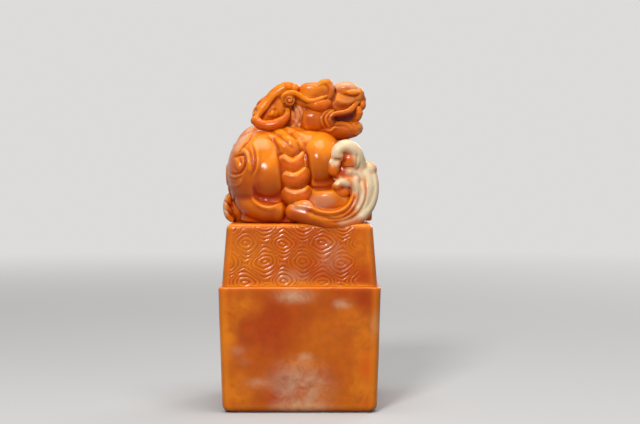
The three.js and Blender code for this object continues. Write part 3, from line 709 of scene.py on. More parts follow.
# The brocade, in mm: the pitch of its rings' middles along a row, the height of a row, how many rings, and
# where it starts. Then the plain margins at the right, left and top of each side, and how fast it fades
# there. The left one is under 0, because the pattern runs into the corner
BROCADE_PITCH = 11.45
BROCADE_ROW = 5.5
BROCADE_RINGS = 4.4
START_ACROSS, START_UP = 4.6, -1.6
RIGHT_MARGIN, RIGHT_FADE = 2.6, 1.6
LEFT_MARGIN, LEFT_FADE = -0.9, 0.9
TOP_MARGIN, TOP_FADE = 0.5, 0.8
WIDEST_RING = 1.6  # as a share of half a pitch
# How the carver's hand strays: how far, how finely, and where in the noise
STRAY_ACROSS = ((0.9, 0.14, 0), (0.35, 0.5, 0))
STRAY_UP = ((0.7, 0.16, 5), (0.3, 0.55, 0))


def stray(at, waves):
    """How far the carver's hand is off at a place, in mm."""
    return sum(reach * noise.noise(at * fine + Vector((shift, 0, 0))) for reach, fine, shift in waves)


def brocade(u, v):
    """The depth, 0 to 1, of the grooves of nested rings: wide eyes in the middles, waves further out."""
    best = WIDEST_RING
    base = math.floor(v / BROCADE_ROW)
    for line in (base, base + 1):
        half_step = 0.5 * (line % 2)
        centre = (round(u / BROCADE_PITCH - half_step) + half_step) * BROCADE_PITCH
        across = abs(u - centre) / (BROCADE_PITCH / 2)
        up = abs(v - line * BROCADE_ROW) / BROCADE_ROW
        low, high = 0.0, WIDEST_RING
        for _ in range(10):
            share = 0.5 * (low + high)
            x = min(1.0, across / share**0.72)
            wavy = min(1.0, share * share)
            top = (1 - wavy) * math.sqrt(1 - x * x) + wavy * math.cos(0.5 * math.pi * x) ** 2
            inside = x < 1 and up < share * top
            low, high = (low, share) if inside else (share, high)
        best = min(best, share)
    return 1 - abs(math.sin(math.pi * (BROCADE_RINGS * best + 0.5))) ** 0.7


def round_edge(top, radius, steps):
    """Levels, as (height, inset), up a rounded edge that ends at the height top."""
    turns = np.linspace(0, math.pi / 2, steps)
    return [(top - radius * (1 - math.sin(a)), -radius * (1 - math.cos(a))) for a in turns]


class SEAL_OT_block(bpy.types.Operator):
    """Model the square block with its rounded foot and its ledge"""

    bl_idname = "seal.block"
    bl_label = "Block"

    def execute(self, context):
        foot_half = 22.8
        half = BLOCK_HIGH.x
        height = BLOCK_HIGH.z
        corner = 2.4
        foot_round = 2.2
        ledge_round = 0.6
        wear_most = 0.06
        levels = [(-z, inset) for z, inset in reversed(round_edge(0, foot_round, 9))]
        levels += [(z, 0) for z in np.linspace(foot_round, height - ledge_round, 34)[1:-1]]
        levels += round_edge(height, ledge_round, 7)
        rows = len(levels) - 1

        def outline(turn, rise):
            z, inset = levels[round(rise * rows)]
            wide = foot_half + (half - foot_half) * z / height + inset
            at, normal, _ = rounded_square(turn, wide, corner)
            wear = wear_most * (noise.noise(Vector((at.x, at.y, z)) * 0.09) - 1)
            return at + normal * wear + Vector((0, 0, z))

        mesh = wrapped("seal_block_stone", 240, rows, outline)
        # These give the block painted light on its rounded edges, ledge and top, and painted shade below and
        # in its dips
        hollows(mesh, 4, 6)
        finish_piece("seal_block_stone", mesh, ["seal_block"], "amber_stone")
        return {"FINISHED"}


class SEAL_OT_collar(bpy.types.Operator):
    """Model the tapered collar with its brocade of nested lozenges"""

    bl_idname = "seal.collar"
    bl_label = "Brocade collar"

    def execute(self, context):
        shape = context.scene.seal_shape
        foot_half = COLLAR_HIGH.x
        top_half = 21.5
        low = COLLAR_LOW.z
        height = COLLAR_HIGH.z - low
        corner = 2.2
        top_round = 1.5
        levels = [(z, 0.0) for z in np.linspace(0, height - top_round, 62)]
        levels += round_edge(height, top_round, 10)[1:]
        levels += [(height, -top_round - 0.5 * i) for i in range(1, 9)]
        rows = len(levels) - 1

        def outline(turn, rise):
            z, inset = levels[round(rise * rows)]
            wide = foot_half + (top_half - foot_half) * z / height + inset
            at, normal, side = rounded_square(turn, wide, corner)
            flat = wide - corner
            spot = Vector((at.x, at.y, z))
            u = side + stray(spot, STRAY_ACROSS) + START_ACROSS
            v = z + stray(spot, STRAY_UP) + START_UP
            right = (flat - RIGHT_MARGIN - side) / RIGHT_FADE
            left = (flat - LEFT_MARGIN + side) / LEFT_FADE
            edge = min(1.0, max(0.0, min(right, left)))
            top = min(1.0, max(0.0, (height - TOP_MARGIN - z) / TOP_FADE))
            wear = 0.72 + 0.55 * noise.noise(spot * 0.12 + Vector((0, 3, 9)))
            depth = edge * top * min(1.0, wear) * brocade(u, v)
            return at - normal * shape.relief * depth + Vector((0, 0, low + z))

        mesh = wrapped("brocade_collar_stone", 640, rows, outline)
        # These give the brocade painted shade in its grooves and a painted glow on its ridges
        hollows(mesh, 6)
        finish_piece("brocade_collar_stone", mesh, ["brocade_collar"], "red_stone")
        return {"FINISHED"}


# Beast: what faces the camera is given as (column, row, depth), pixels of the photograph and a depth y in mm


# Where the stone is painted paler, brighter, redder or darker, for each group of forms: half width in pixels,
# strength, and a line in the photograph. Besides the stone's own cream and orange, most are painted light:
# highlights and glow on rims, tops and bellies, and painted shade in creases, on undersides and in the mouth
STAINS = {
    # A pale strip on the left shoulder, and a painted highlight along the knee's middle arc
    ("body", "pale"): (
        (4.6, 0.4, (252, 127), (244, 138), (237, 149)),
        (2.8, 0.35, (242.6, 150.4), (246, 153), (248.4, 159)),
    ),
    # Painted highlights on the knee's arcs and the rims of shank and hock, and painted light on the haunches'
    # and back's tops
    ("body", "bright"): (
        (4, 0.8, (241.5, 149.4), (246, 152.6), (248.6, 160), (249.6, 168)),
        (3.4, 0.9, (254, 144), (257, 151), (258.4, 160)),
        (15, 0.85, (256, 142), (264, 142), (273, 150), (266, 160)),
        (11, 0.9, (268, 131), (280, 134), (290, 137), (298, 144)),
        (15, 0.9, (308, 139), (318, 140), (327, 146)),
        (4, 0.8, (257, 198.6), (262, 204.6), (270, 207.4), (281, 205)),
        (4, 0.9, (308, 192.4), (318, 190.4), (330, 191.4), (340, 193)),
    ),
    # A painted glow of light through the stone in the knee's bulb
    ("body", "glow"): (
        (6, 0.8, (233, 164), (238, 167), (236, 172)),
    ),
    # Painted shade in the creases and on the undersides of the haunches, thighs and shank
    ("body", "deep"): (
        (9, 0.7, (234, 205), (250, 219), (266, 221), (284, 221)),
        (6, 0.9, (285.4, 184), (286, 222)),
        (5, 0.9, (256, 197), (262, 202), (270, 203.4), (282, 203)),
        (9, 0.7, (246, 212), (262, 217), (280, 216)),
        (6, 0.6, (279.6, 156), (282, 176), (284, 196)),
        (13, 0.75, (256, 192), (268, 196), (281, 194)),
        (12, 0.55, (232, 184), (240, 194), (246, 190)),
        (12, 0.6, (312, 176), (322, 180), (331, 178)),
        (5, 0.7, (256, 130), (266, 131.6), (278, 128)),
        (7, 0.5, (232, 188), (238, 200)),
        (5, 0.8, (341, 169), (344, 175)),
    ),
    ("paw", "pale"): (
        (4.4, 0.6, (225, 195), (223.6, 204), (225.6, 214)),
    ),
    # Painted shade in the crease behind the near toe
    ("paw", "deep"): (
        (4, 0.6, (232, 196), (231, 208), (234, 218)),
    ),
    # Painted highlights on the tiles' upper rims
    ("tile", "pale"): (
        (3.2, 0.6, (287, 189.4), (295, 191.6), (304, 189.4)),
        (2.8, 0.4, (283, 172), (290, 174.4), (297, 174.4)),
        (2.8, 0.4, (299, 157), (302, 152)),
        (2.6, 0.35, (281, 156), (286, 158)),
    ),
    # Painted light on the tiles' upper rims
    ("tile", "bright"): (
        (4.6, 1.0, (281, 154.6), (285, 154.8), (290, 159), (296, 159.4), (303, 151)),
        (4.2, 1.0, (282, 171), (289, 172.6), (297, 173.6), (305, 166)),
        (4.2, 0.8, (286, 186.6), (292, 190.6), (299, 191), (307, 186)),
    ),
    # A painted glow of light through the stone in the tiles' bellies
    ("tile", "glow"): (
        (6.4, 1.0, (286, 165), (294, 167), (302, 161)),
        (6.4, 1.0, (287, 181), (296, 182), (304, 176)),
        (6, 0.9, (290, 198), (298, 199), (305, 196)),
    ),
    # The cream of the tail's end and curls, the stone's own colour; the last line is a painted highlight on
    # the tail's root
    ("tail", "pale"): (
        (12, 1.0, (363, 165), (370, 173), (373, 186), (371, 202), (363, 213)),
        (8, 0.5, (363, 214), (354, 221), (343, 224)),
        (6, 0.9, (360, 182), (361.6, 196), (358, 206)),
        (13.5, 1.0, (362, 172), (361, 158), (354, 147), (346, 143), (338, 146), (334, 153)),
        (6, 0.85, (331, 161), (336, 162.4)),
        (8, 0.85, (366, 164), (372, 168)),
        (6, 0.85, (336, 182), (342, 181), (347, 184)),
        (8.5, 0.8, (351, 170), (354, 173), (357, 182), (356, 189)),
        (7, 0.3, (294, 206), (300, 206.6), (307, 205)),
    ),
    # Painted highlights on the tail's root and on the rim of its inner band
    ("tail", "bright"): (
        (5, 0.8, (290, 203), (297, 203.6), (304, 201)),
        (6, 0.7, (312, 215), (326, 218.6), (340, 217)),
    ),
    # The stone's own orange between the tail's cream, and a painted glow in the curls' bellies and the outer
    # band's underside
    ("tail", "glow"): (
        (6.4, 0.8, (349, 157), (350.6, 164)),
        (6.4, 0.95, (332, 171), (335, 174)),
        (8, 0.9, (338, 193), (346, 194)),
        (5, 0.7, (326, 225), (343, 226), (356, 222)),
    ),
    # Painted shade under the tail and in the hole among the curls
    ("tail", "deep"): (
        (8, 0.6, (288, 219), (302, 222), (318, 226)),
        (5, 0.7, (341, 169), (344, 175)),
    ),
    ("mane", "pale"): (
        (9, 0.3, (295, 104), (298, 114), (296, 127)),
    ),
    # Painted light on the scroll's strap edge, its dish and its crest
    ("mane", "bright"): (
        (6, 0.9, (282, 86), (276, 92), (266, 102), (257, 113)),
        (9, 0.9, (270, 108), (276, 113), (282, 104)),
        (5, 0.8, (288, 86), (295, 88)),
    ),
    # A painted glow of light through the stone in the belly of the scroll's roll
    ("mane", "glow"): (
        (7, 1.0, (258, 122), (266, 126), (278, 124.4), (286, 117)),
    ),
    # Painted shade under the scroll's roll
    ("mane", "deep"): (
        (7.4, 0.85, (256, 125), (266, 129), (278, 126.4), (286, 119)),
    ),
    # Painted highlights on the top of the nose, the side of the muzzle and the chin's rim
    ("head", "pale"): (
        (7, 0.5, (336, 86), (342, 83), (350, 83.4), (357, 88)),
        (8, 0.3, (340, 98), (348, 99.4), (356, 98)),
        (3.4, 0.3, (361.6, 125), (362, 130), (358, 133.4)),
    ),
    # Painted light on the brow, the muzzle, the nostril and the horn's ribbon
    ("head", "bright"): (
        (9, 0.9, (303, 96), (314, 88), (324, 82)),
        (10, 0.9, (340, 97), (348, 98), (357, 96)),
        (5, 0.9, (344, 91.6), (352, 92.4), (359, 92)),
        (5, 0.9, (287, 93.4), (298, 95), (309, 101), (322, 98.4)),
    ),
    # A painted glow of light through the stone in the eye's ball and the lip's tip
    ("head", "glow"): (
        (6, 0.8, (316, 104.6), (322, 106), (327, 104)),
        (5, 0.6, (358, 101), (363, 105)),
    ),
    # Deeper red on the cheek, and painted shade under the jaw and between the lips
    ("head", "deep"): (
        (11, 0.6, (306, 116), (314, 124), (326, 128)),
        (10, 0.9, (318, 132), (332, 134.6), (346, 136)),
        (8, 1.0, (312, 133), (322, 136.4), (334, 138.6), (344, 140), (356, 137)),
        (8, 0.6, (330, 125), (340, 130), (350, 133)),
    ),
    # Painted shade deep in the open mouth
    ("head", "dark"): (
        (7.0, 1.0, (335, 118.6), (343, 117.6), (350, 116)),
    ),
}


def through(look):
    """The same view, in which every vertex counts as open to the viewer."""
    def seen_through(places):
        return look(places)[0], None

    return seen_through


def build_form(
    name, clay, nodes, slot, stains="", strokes=None, voxel_share=1.0, smoothing=None, looks=(photograph,)
):
    """Fuses the clay, carves it with strokes(mesh), stains it in each look with colour and painted light and
    shade, and puts it into the scene.
    """
    shape = bpy.context.scene.seal_shape
    mesh = clay.fuse(name, shape.voxel * voxel_share, shape.smoothing if smoothing is None else smoothing)
    if strokes:
        strokes(mesh)
    # The stains are partly the stone's own colour and partly painted highlights, glow and shade
    for look in looks:
        work = Carving(mesh, look)
        for (group, stain), places in STAINS.items():
            if group == stains:
                for width, amount, *points in places:
                    work.stain(stain, points, width, amount)
    # Grooves, ridges, valleys and crests, from which the stone paints light and shade
    hollows(mesh)
    return finish_piece(name, mesh, nodes, slot)


BODY_MASSES = {
    # name: (place in mm over the collar, radii, how square)
    "trunk": ((-1.5, 2, 13), (17, 16.5, 14.2), 2.6),
    "foot": ((-0.6, -1, 2.0), (17.6, 17.2, 2.4), 5.0),
    "rump": ((-1, -8, 12.6), (15.5, 10.4, 12), 2.8),
    "haunch left": ((-12.2, -7, 15), (9.9, 13.1, 12.6), 2.2),
    "haunch ball left": ((-9.4, -11.6, 14.2), (8.6, 9.0, 9.6), 2.0),
    "haunch right": ((5.6, -8, 18.2), (7.7, 12.6, 9.3), 2.05),
    "loin": ((1.5, -8.6, 22.4), (7.5, 8.2, 5.4), 2.3),
    "back folds": ((-3.6, -12.6, 21.4), (5.2, 5.6, 5.0), 2.0),
    "spine bed": ((-2.2, -10.6, 13), (5.6, 8.4, 9.5), 2.2),
    "tail bed": ((8.5, -13, 5.6), (9.5, 6.6, 5.6), 2.7),
    "knee right": ((12.6, -3.4, 13.6), (6.6, 8.8, 8.6), 2.3),
    "shoulder left": ((-12.4, 8, 18), (9.2, 9.5, 12.2), 2.1),
    "shoulder right": ((11.2, 8, 15.4), (9, 9, 11), 2.1),
    "chest": ((-1.5, 13, 14.5), (9.5, 7.6, 11.5), 2.0),
    "withers": ((-3.4, -4, 22), (9.5, 11, 7.4), 2.2),
    "hock right": ((9.2, -16.4, 7.2), (6.2, 4.1, 3.3), 2.5),
}
SHANK_LEFT = (
    (-16.6, -6, 12), (-16.8, -10, 8.4), (-14.6, -14.4, 5.7), (-10.8, -16.8, 4.2), (-7.0, -17.4, 3.9),
)
SHANK_RADII = (3.2, 3.5, 3.7, 3.7, 3.5)

# Strokes on the body, as pixels
HAUNCH_UNDERCUT = (
    (253.6, 184), (254.6, 190), (257, 195.6), (262, 200), (269, 201.8), (277, 202), (286, 201.6),
)
HAUNCH_TOP = ((253, 140), (257, 135.5), (263, 134), (269, 136.5), (273.5, 141.5), (276.5, 148), (278, 156))
SHANK_RIM = ((251.5, 196), (255, 202), (261, 206), (268, 207.6), (275, 206.6), (282, 203))
KNEE_OUTER_ARC = ((253.4, 143.4), (256.4, 150), (257.8, 158), (257, 168), (253, 176))
KNEE_MIDDLE_ARC = ((241, 148.6), (246, 152), (248.6, 160), (249.6, 170))
KNEE_OUTER_GROOVE = (-2.4, 0.6)  # where the grooves lie beside their arcs
KNEE_MIDDLE_GROOVE = (3.2, -0.4)
KNEE_CURL = (
    (234, 157), (238, 155.2), (242.4, 154.6), (244.8, 157),
    (245, 162), (243.4, 168), (239, 173.4), (231, 173.8),
)
KNEE_BULB = ((235.4, 159), (238.6, 158.4), (240.6, 162), (241, 168), (238.4, 170.4), (235.6, 166))
KNEE_LOWER_ARC = ((229, 176), (233, 178.6), (238, 177.6), (242, 174.6))
KNEE_LOWER_BUMP = ((229, 185.6), (235, 186.4), (240, 184), (243, 179))
SHOULDER_CREASE = ((254, 132.6), (250, 138), (244.6, 144.4), (239.4, 151), (235.6, 157))
SPINE_LEFT_CREASE = ((279, 151), (281, 163), (283, 176), (284.3, 190), (285.2, 204), (286, 222))
SPINE_RIGHT_CREASE = ((305, 150), (307, 160), (308.6, 172), (309.6, 185), (309.8, 197))
HAUNCH_RIGHT_UNDER = ((334, 187.5), (325, 188.6), (315, 188.4), (309.5, 185), (308.6, 174))
HOCK_UNDER = ((350, 199), (344, 206), (335, 209.5), (325, 210), (316, 207), (311, 200))
BACK_LOCKS = (
    # a broad low ridge each: line, half width, height
    (((259, 131), (265, 132.6), (271, 135), (276, 139), (280.6, 144), (287, 147.4)), 4.6, 0.55),
    (((268, 129.4), (275, 130.6), (282, 133), (288, 137.4), (293, 141.6), (297, 147)), 5.2, 0.55),
    (((284, 127), (290, 130), (297, 133.6), (305, 135)), 3.4, 0.5),
    (((297, 138), (301, 143.6), (303, 150)), 3.4, 0.5),
)
BACK_CREASES = (
    ((262, 136), (268, 137), (274, 141), (278, 147), (279.6, 154)),
    ((272, 133.4), (279, 135.6), (285, 140.6), (290, 146), (297, 149.6)),
    ((287, 133), (293, 137), (298, 139.4), (305, 139)),
)


def carve_body(mesh):
    work = Carving(mesh)
    # A step lifts its right-hand side, as the line is walked in the photograph
    work.line(HAUNCH_UNDERCUT, 6.5, -0.45, ends=0.35)
    work.step(HAUNCH_TOP, 10, 0.25, edge=1.5)
    work.line(HAUNCH_RIGHT_UNDER, 4.5, -0.4)
    work.step(HOCK_UNDER, 7, 0.5)
    work.line(SPINE_LEFT_CREASE, 5, -0.35, ends=0.05)
    work.line(SPINE_RIGHT_CREASE, 4.5, -0.5)
    work.apply()
    work.line(HAUNCH_UNDERCUT, 2.6, -0.3, ends=0.35)
    work.line(SHANK_RIM, 2.2, 0.45)
    work.line(SPINE_RIGHT_CREASE, 2.0, -0.4)
    work.line(HAUNCH_RIGHT_UNDER, 2.0, -0.45)
    work.line(HAUNCH_TOP, 1.8, -0.25)
    work.line(KNEE_OUTER_ARC, 2.0, 0.3, ends=0.35)
    work.line(shifted(KNEE_OUTER_ARC, *KNEE_OUTER_GROOVE), 1.6, -0.4, ends=0.35)
    work.line(KNEE_MIDDLE_ARC, 3.2, 0.5, ends=0.3)
    work.line(shifted(KNEE_MIDDLE_ARC, *KNEE_MIDDLE_GROOVE), 1.5, -0.2, ends=0.3)
    work.line(KNEE_CURL, 1.9, -0.75)
    work.pad(KNEE_BULB, 2.2, 0.5)
    work.step(KNEE_LOWER_ARC[::-1], 5, 0.4)
    work.line(KNEE_LOWER_ARC, 1.7, -0.45)
    work.step(KNEE_LOWER_BUMP[::-1], 5, 0.3)
    work.line(SHOULDER_CREASE, 1.9, -0.45, ends=0.3)
    for lock, width, height in BACK_LOCKS:
        work.line(lock, width, height, ends=0.3)
    for crease in BACK_CREASES:
        work.line(crease, 2.0, -0.22, ends=0.3)
    work.apply()
    carve_other_sides(mesh)


# What the other sides carry, as (across, mm over the collar) in a straight view from that side
FROM_LEFT = (1, 0, 0)
FROM_RIGHT = (-1, 0, 0)
FROM_CHEST = (0, -1, 0)
SIDE_VIEWS = (FROM_LEFT, FROM_RIGHT, FROM_CHEST)
SIDE_SKIN = 4.0  # how far behind the nearest surface, in mm, a stroke in such a view still carves
SIDE_CURLS = (
    # view, centre, outer radius in mm, turns, start in turns
    (FROM_LEFT, (-8.6, 19.0), 6.4, 1.7, 0.62),
    (FROM_LEFT, (6.4, 13.6), 5.4, -1.6, 0.95),
    (FROM_RIGHT, (8.4, 16.0), 5.6, -1.7, 0.88),
    (FROM_RIGHT, (-3.6, 13.2), 4.8, 1.6, 0.5),
    (FROM_CHEST, (11.6, 19.6), 5.0, -1.6, 0.9),
    (FROM_CHEST, (-11.4, 16.6), 4.8, 1.6, 0.6),
)
CURL_EYE = 0.9  # the radius at which a curl's ridge ends
CURL_GROOVE_EYE = 0.2
CURL_GROOVE_INSET = 1.15
FLAME_RIDGE_RISE = 1.2  # from a flame's groove up to its ridge
SIDE_FLAMES = (
    # the flowing locks that trail from the curls: view and line
    (FROM_LEFT, ((-14.6, 14), (-12.4, 10.4), (-8.6, 8.8), (-5, 9.4), (-2.6, 12))),
    (FROM_LEFT, ((-13, 10), (-9.8, 7), (-5.8, 6.2), (-2.4, 7.6))),
    (FROM_LEFT, ((-2.2, 24), (-0.6, 19.6), (-0.8, 14.6), (-2, 9.6), (-1.6, 5))),
    (FROM_LEFT, ((1.2, 8.6), (5, 6.2), (10, 6), (14, 8))),
    (FROM_RIGHT, ((14, 11.4), (11.4, 8.4), (7.4, 7.2), (4, 8.6))),
    (FROM_RIGHT, ((12.6, 8), (9, 5.4), (5.2, 5))),
    (FROM_RIGHT, ((3, 22), (1.8, 17.6), (2, 13), (3, 8.4), (2.6, 4.4))),
    (FROM_RIGHT, ((-8, 8.2), (-4, 6.6), (0.6, 7.6))),
)
BELLY_TILES = (22.4, 18.8, 15.2, 11.6, 8.0)  # the heights of their upper rims
BELLY_ACROSS = 1.5
BELLY_HALF_WIDTH = 5.2
BELLY_SAG = 1.5


def carve_other_sides(mesh):
    for view in SIDE_VIEWS:
        work = Carving(mesh, drawing(view), SIDE_SKIN)
        for side, at, outer, turns, start in SIDE_CURLS:
            if side == view:
                ridge = spiral(at, outer, CURL_EYE, turns, start)
                groove = spiral(at, outer - CURL_GROOVE_INSET, CURL_GROOVE_EYE, turns, start)
                work.line(upright(ridge), 1.25, 0.5, ends=0.08)
                work.line(upright(groove), 0.8, -0.45, ends=0.08)
        for side, flame in SIDE_FLAMES:
            if side == view:
                work.line(upright(flame), 0.7, -0.55, ends=0.25)
                work.line(upright(shifted(flame, 0, FLAME_RIDGE_RISE)), 1.2, 0.4, ends=0.3)
        for height in BELLY_TILES if view == FROM_CHEST else ():
            shares = np.linspace(-1, 1, 7)
            rim = [(BELLY_ACROSS + BELLY_HALF_WIDTH * x, height - BELLY_SAG * (1 - x**2)) for x in shares]
            work.step(upright(rim), 2.4, 0.5, edge=0.35)
        work.apply()


class SEAL_OT_body(bpy.types.Operator):
    """Model the crouching body with its haunches, thighs, shoulders and chest"""

    bl_idname = "seal.body"
    bl_label = "Body"

    def execute(self, context):
        clay = Clay()
        for at, radii, square in BODY_MASSES.values():
            clay.lump(Vector(at) + Vector((0, 0, BEAST_FLOOR)), radii, square=square, detail=5)
        clay.strand(over_collar(SHANK_LEFT), SHANK_RADII)
        nodes = [
            "torso", "haunch_left", "haunch_right", "thigh_left", "thigh_right", "shoulder_left",
            "shoulder_right", "chest", "hock_right", "haunch_spiral_left", "mane_lock_upper",
            "mane_lock_lower",
        ]
        build_form("beast_body", clay, nodes, "red_stone", "body", carve_body, smoothing=14)
        return {"FINISHED"}


# Three paws are built alike, in mm: the ball, how far apart the outer toes lie, how far ahead of the ball's
# middle the knuckles lie, and how far the toes drop from there
PAW_RADIUS = 3.8
PAW_WIDTH = 6.0
PAW_REACH = 3.6
PAW_DROP = 2.48
PAW_TOE_RADII = (1.3, 1.3, 0.9)
PAWS = {
    # name: (place in mm over the collar, heading in radians)
    "hind_paw_right": ((16.7, -2.6, 3.5), 0.25),
    "fore_paw_left": ((-9.6, 17.2, 3.6), 1.7),
    "fore_paw_right": ((7.6, 17.2, 3.6), 1.45),
}
# The left hind paw's near toe, as pixels, and how far apart in mm the toes lie
TOE_LINE = ((234, 194), (229.6, 196.6), (227.4, 202.6), (227.4, 209.6), (229, 216), (231.6, 219.6))
TOE_RADII = (0.8, 1.15, 1.3, 1.35, 1.3, 0.9)
TOE_PLACES = (-6.4, -3.6, -0.8, 2.0)
TOE_CREASES = (
    ((222, 201.6), (226, 202), (230, 205), (233, 209)),
    ((223, 209.4), (227, 210.4), (231, 213.6), (233, 217)),
)
FORELEGS = {
    "foreleg_left": ((-12.5, 12, 13), (-13, 15.5, 8), (-11.6, 15.8, 3.6)),
    "foreleg_right": ((10.5, 12, 12), (11.6, 15, 8), (10, 15.6, 3.6)),
}
TOE_STROKES = ((TOE_CREASES, 1.7, -0.55, 0.3),)
PALM = (238, 207.6)
PALM_BACK = 4.6  # behind the near toe, in mm
PALM_RADII = (4.0, 5.4, 5.0)
FORELEG_RADII = (4.4, 3.8, 3.8)
UP = Vector((0, 0, 1))


class SEAL_OT_legs(bpy.types.Operator):
    """Model the forelegs and the four paws"""

    bl_idname = "seal.legs"
    bl_label = "Legs and paws"

    def execute(self, context):
        for name, (place, heading) in PAWS.items():
            paw = Clay()
            at = over_collar([place])[0]
            ahead = Vector((math.cos(heading), math.sin(heading), 0))
            aside = Vector((-ahead.y, ahead.x, 0))
            paw.lump(at, (PAW_RADIUS,) * 3)
            for off_middle in (-1 / 2, -1 / 6, 1 / 6, 1 / 2):
                spread = aside * off_middle * PAW_WIDTH
                knuckle = at + ahead * (PAW_REACH - abs(off_middle)) + spread
                tip = knuckle + ahead * 0.6 - UP * PAW_DROP
                paw.strand([at + spread * 0.7 + UP * 1.6, knuckle, tip], PAW_TOE_RADII)
            build_form(name + "_carving", paw, [name], "amber_stone")
        paw = Clay()
        near = TOE_PLACES[0]
        for depth in TOE_PLACES:
            back = Vector((0, depth - near, 0))
            paw.strand([seen(column, row, near) + back for column, row in TOE_LINE], TOE_RADII)
        paw.lump(seen(*PALM, near) + Vector((0, PALM_BACK, 0)), PALM_RADII)
        strokes = functools.partial(carve, groups=TOE_STROKES)
        build_form(
            "hind_paw_left_carving", paw, ["hind_paw_left"], "amber_stone", "paw", strokes, voxel_share=0.8
        )
        for name, points in FORELEGS.items():
            leg = Clay()
            leg.strand(over_collar(points), FORELEG_RADII)
            build_form(name + "_carving", leg, [name], "red_stone")
        return {"FINISHED"}


# Each tile: its bright upper rim, as pixels, and the depth of the rim's middle
SPINE_TILES = (
    (
        ((280, 155.4), (284, 154.6), (288, 158.4), (292, 160.6), (296.4, 159), (300.6, 154.6), (303.6, 150)),
        -20.0,
    ),
    (
        ((281.4, 171), (287, 171.8), (292, 174), (297, 174), (301.6, 170.8), (305.4, 166), (307, 161.6)),
        -20.8,
    ),
    (
        ((285.4, 186), (289, 189.4), (294, 191.4), (299, 191.4), (304, 189), (308, 184.6)),
        -21.0,
    ),
)
TILE_BEND = 0.006  # how fast a tile curves back towards its ends, in mm per squared pixel
TILE_ROLL_DROP, TILE_ROLL_BACK = 7, 2.7  # where the roll lies: pixels under the rim's line, mm behind it
TILE_RIM_DROP, TILE_RIM_BACK = 2.2, 1.2
TILE_RIM_BEND = 2.2  # as a share of the tile's own bend
TILE_ROLL_RADII = (1.6, 2.3, 2.8, 3.0, 2.8, 2.3, 1.6)
TILE_RIM_RADII = (0.6, 0.95, 1.15, 1.2, 1.15, 0.95, 0.6)


class SEAL_OT_spine(bpy.types.Operator):
    """Model the three tiles of the spine"""

    bl_idname = "seal.spine"
    bl_label = "Spine tiles"

    def execute(self, context):
        for number, (rim, depth) in enumerate(SPINE_TILES, 1):
            clay = Clay()
            middle = 0.5 * (rim[0][0] + rim[-1][0])
            bend = [TILE_BEND * (x - middle) ** 2 for x, _ in rim]
            roll = [(x, y + TILE_ROLL_DROP, depth + TILE_ROLL_BACK + by) for (x, y), by in zip(rim, bend)]
            clay.strand(from_photo(roll), TILE_ROLL_RADII, out=(0, -1, -0.6), flat=0.8)
            back = depth + TILE_RIM_BACK
            edge = [(x, y + TILE_RIM_DROP, back + TILE_RIM_BEND * by) for (x, y), by in zip(rim, bend)]
            clay.strand(from_photo(edge), TILE_RIM_RADII, out=(0, -1, 0.4), flat=0.75)
            nodes = [f"spine_plate_{number}"]
            build_form(f"spine_tile_{number}", clay, nodes, "red_stone", "tile", voxel_share=0.7)
        return {"FINISHED"}


# The tail's bands and curls: places as (column, row, depth), with their radii in mm
TAIL_BANDS = {
    "bed": (
        ((299, 212, -17), (312, 214.6, -17.8), (328, 218, -18.6), (342, 216.6, -18.5), (353, 209.6, -17.5),
         (360.4, 200, -16.1), (363.4, 187, -14.9), (361.4, 175, -14.2)),
        (3.0, 3.3, 3.1, 3.2, 3.4, 3.6, 3.6, 3.0),
    ),
    "outer": (
        ((294.5, 212, -18.6), (302, 214, -19.2),
         (313, 217.6, -19.8), (328, 222.2, -20.2),
         (345, 222.4, -19.8), (357.6, 217.8, -18.6),
         (366.6, 208.4, -17), (371.2, 196, -15.4),
         (371.6, 183, -14), (368.4, 170.6, -12.6)),
        (2.8, 2.8, 2.4, 2.1, 2.0, 2.0, 2.05, 2.15, 2.2, 2.3),
    ),
    "middle": (
        ((300, 211, -20), (314, 215.5, -20.8),
         (330, 219.2, -21), (344, 218, -20.7),
         (354.6, 212, -19.8), (361, 203, -18.6),
         (363.2, 192, -17.4), (362, 182, -16.6),
         (358.6, 175.8, -16.8), (353.8, 172.8, -17.4)),
        (1.5, 1.5, 1.35, 1.3, 1.3, 1.3, 1.3, 1.3, 1.3, 1.25),
    ),
    "inner": (
        ((299, 206.6, -20), (310, 209.2, -20.8), (320, 214, -21.2),
         (332, 215.8, -21.4), (343, 213.8, -21), (351.2, 207.6, -20.3),
         (356.2, 199, -19.6), (357, 191, -19), (353.4, 185.2, -18.8),
         (347.6, 182.4, -19), (341.4, 182.6, -19.4), (337.6, 185.6, -19.8)),
        (1.5, 1.4, 1.25, 1.15, 1.15, 1.1, 1.1, 1.1, 1.2, 1.7, 1.8, 1.4),
    ),
    "rim": (
        ((296, 203.5, -19.8), (307, 203.6, -20.4), (313, 208.8, -21.2),
         (320, 212, -21.6), (330, 213.2, -21.8), (339, 211.8, -21.6),
         (346.5, 207.4, -21), (351.4, 200.6, -20.4), (352.6, 194.6, -19.8)),
        (0.9, 1.1, 0.9, 0.8, 0.75, 0.75, 0.75, 0.75, 0.7),
    ),
    "crown": (
        ((359.6, 174, -15), (359.4, 165.6, -15.6), (357.6, 157.6, -16.2), (353, 150.8, -16.8),
         (347.4, 147.4, -17.4), (341.8, 148.2, -17.9), (337.6, 151.4, -18.4), (336, 155.4, -18.6)),
        (1.6, 1.75, 1.95, 2.3, 2.5, 2.4, 2.05, 1.6),
    ),
}
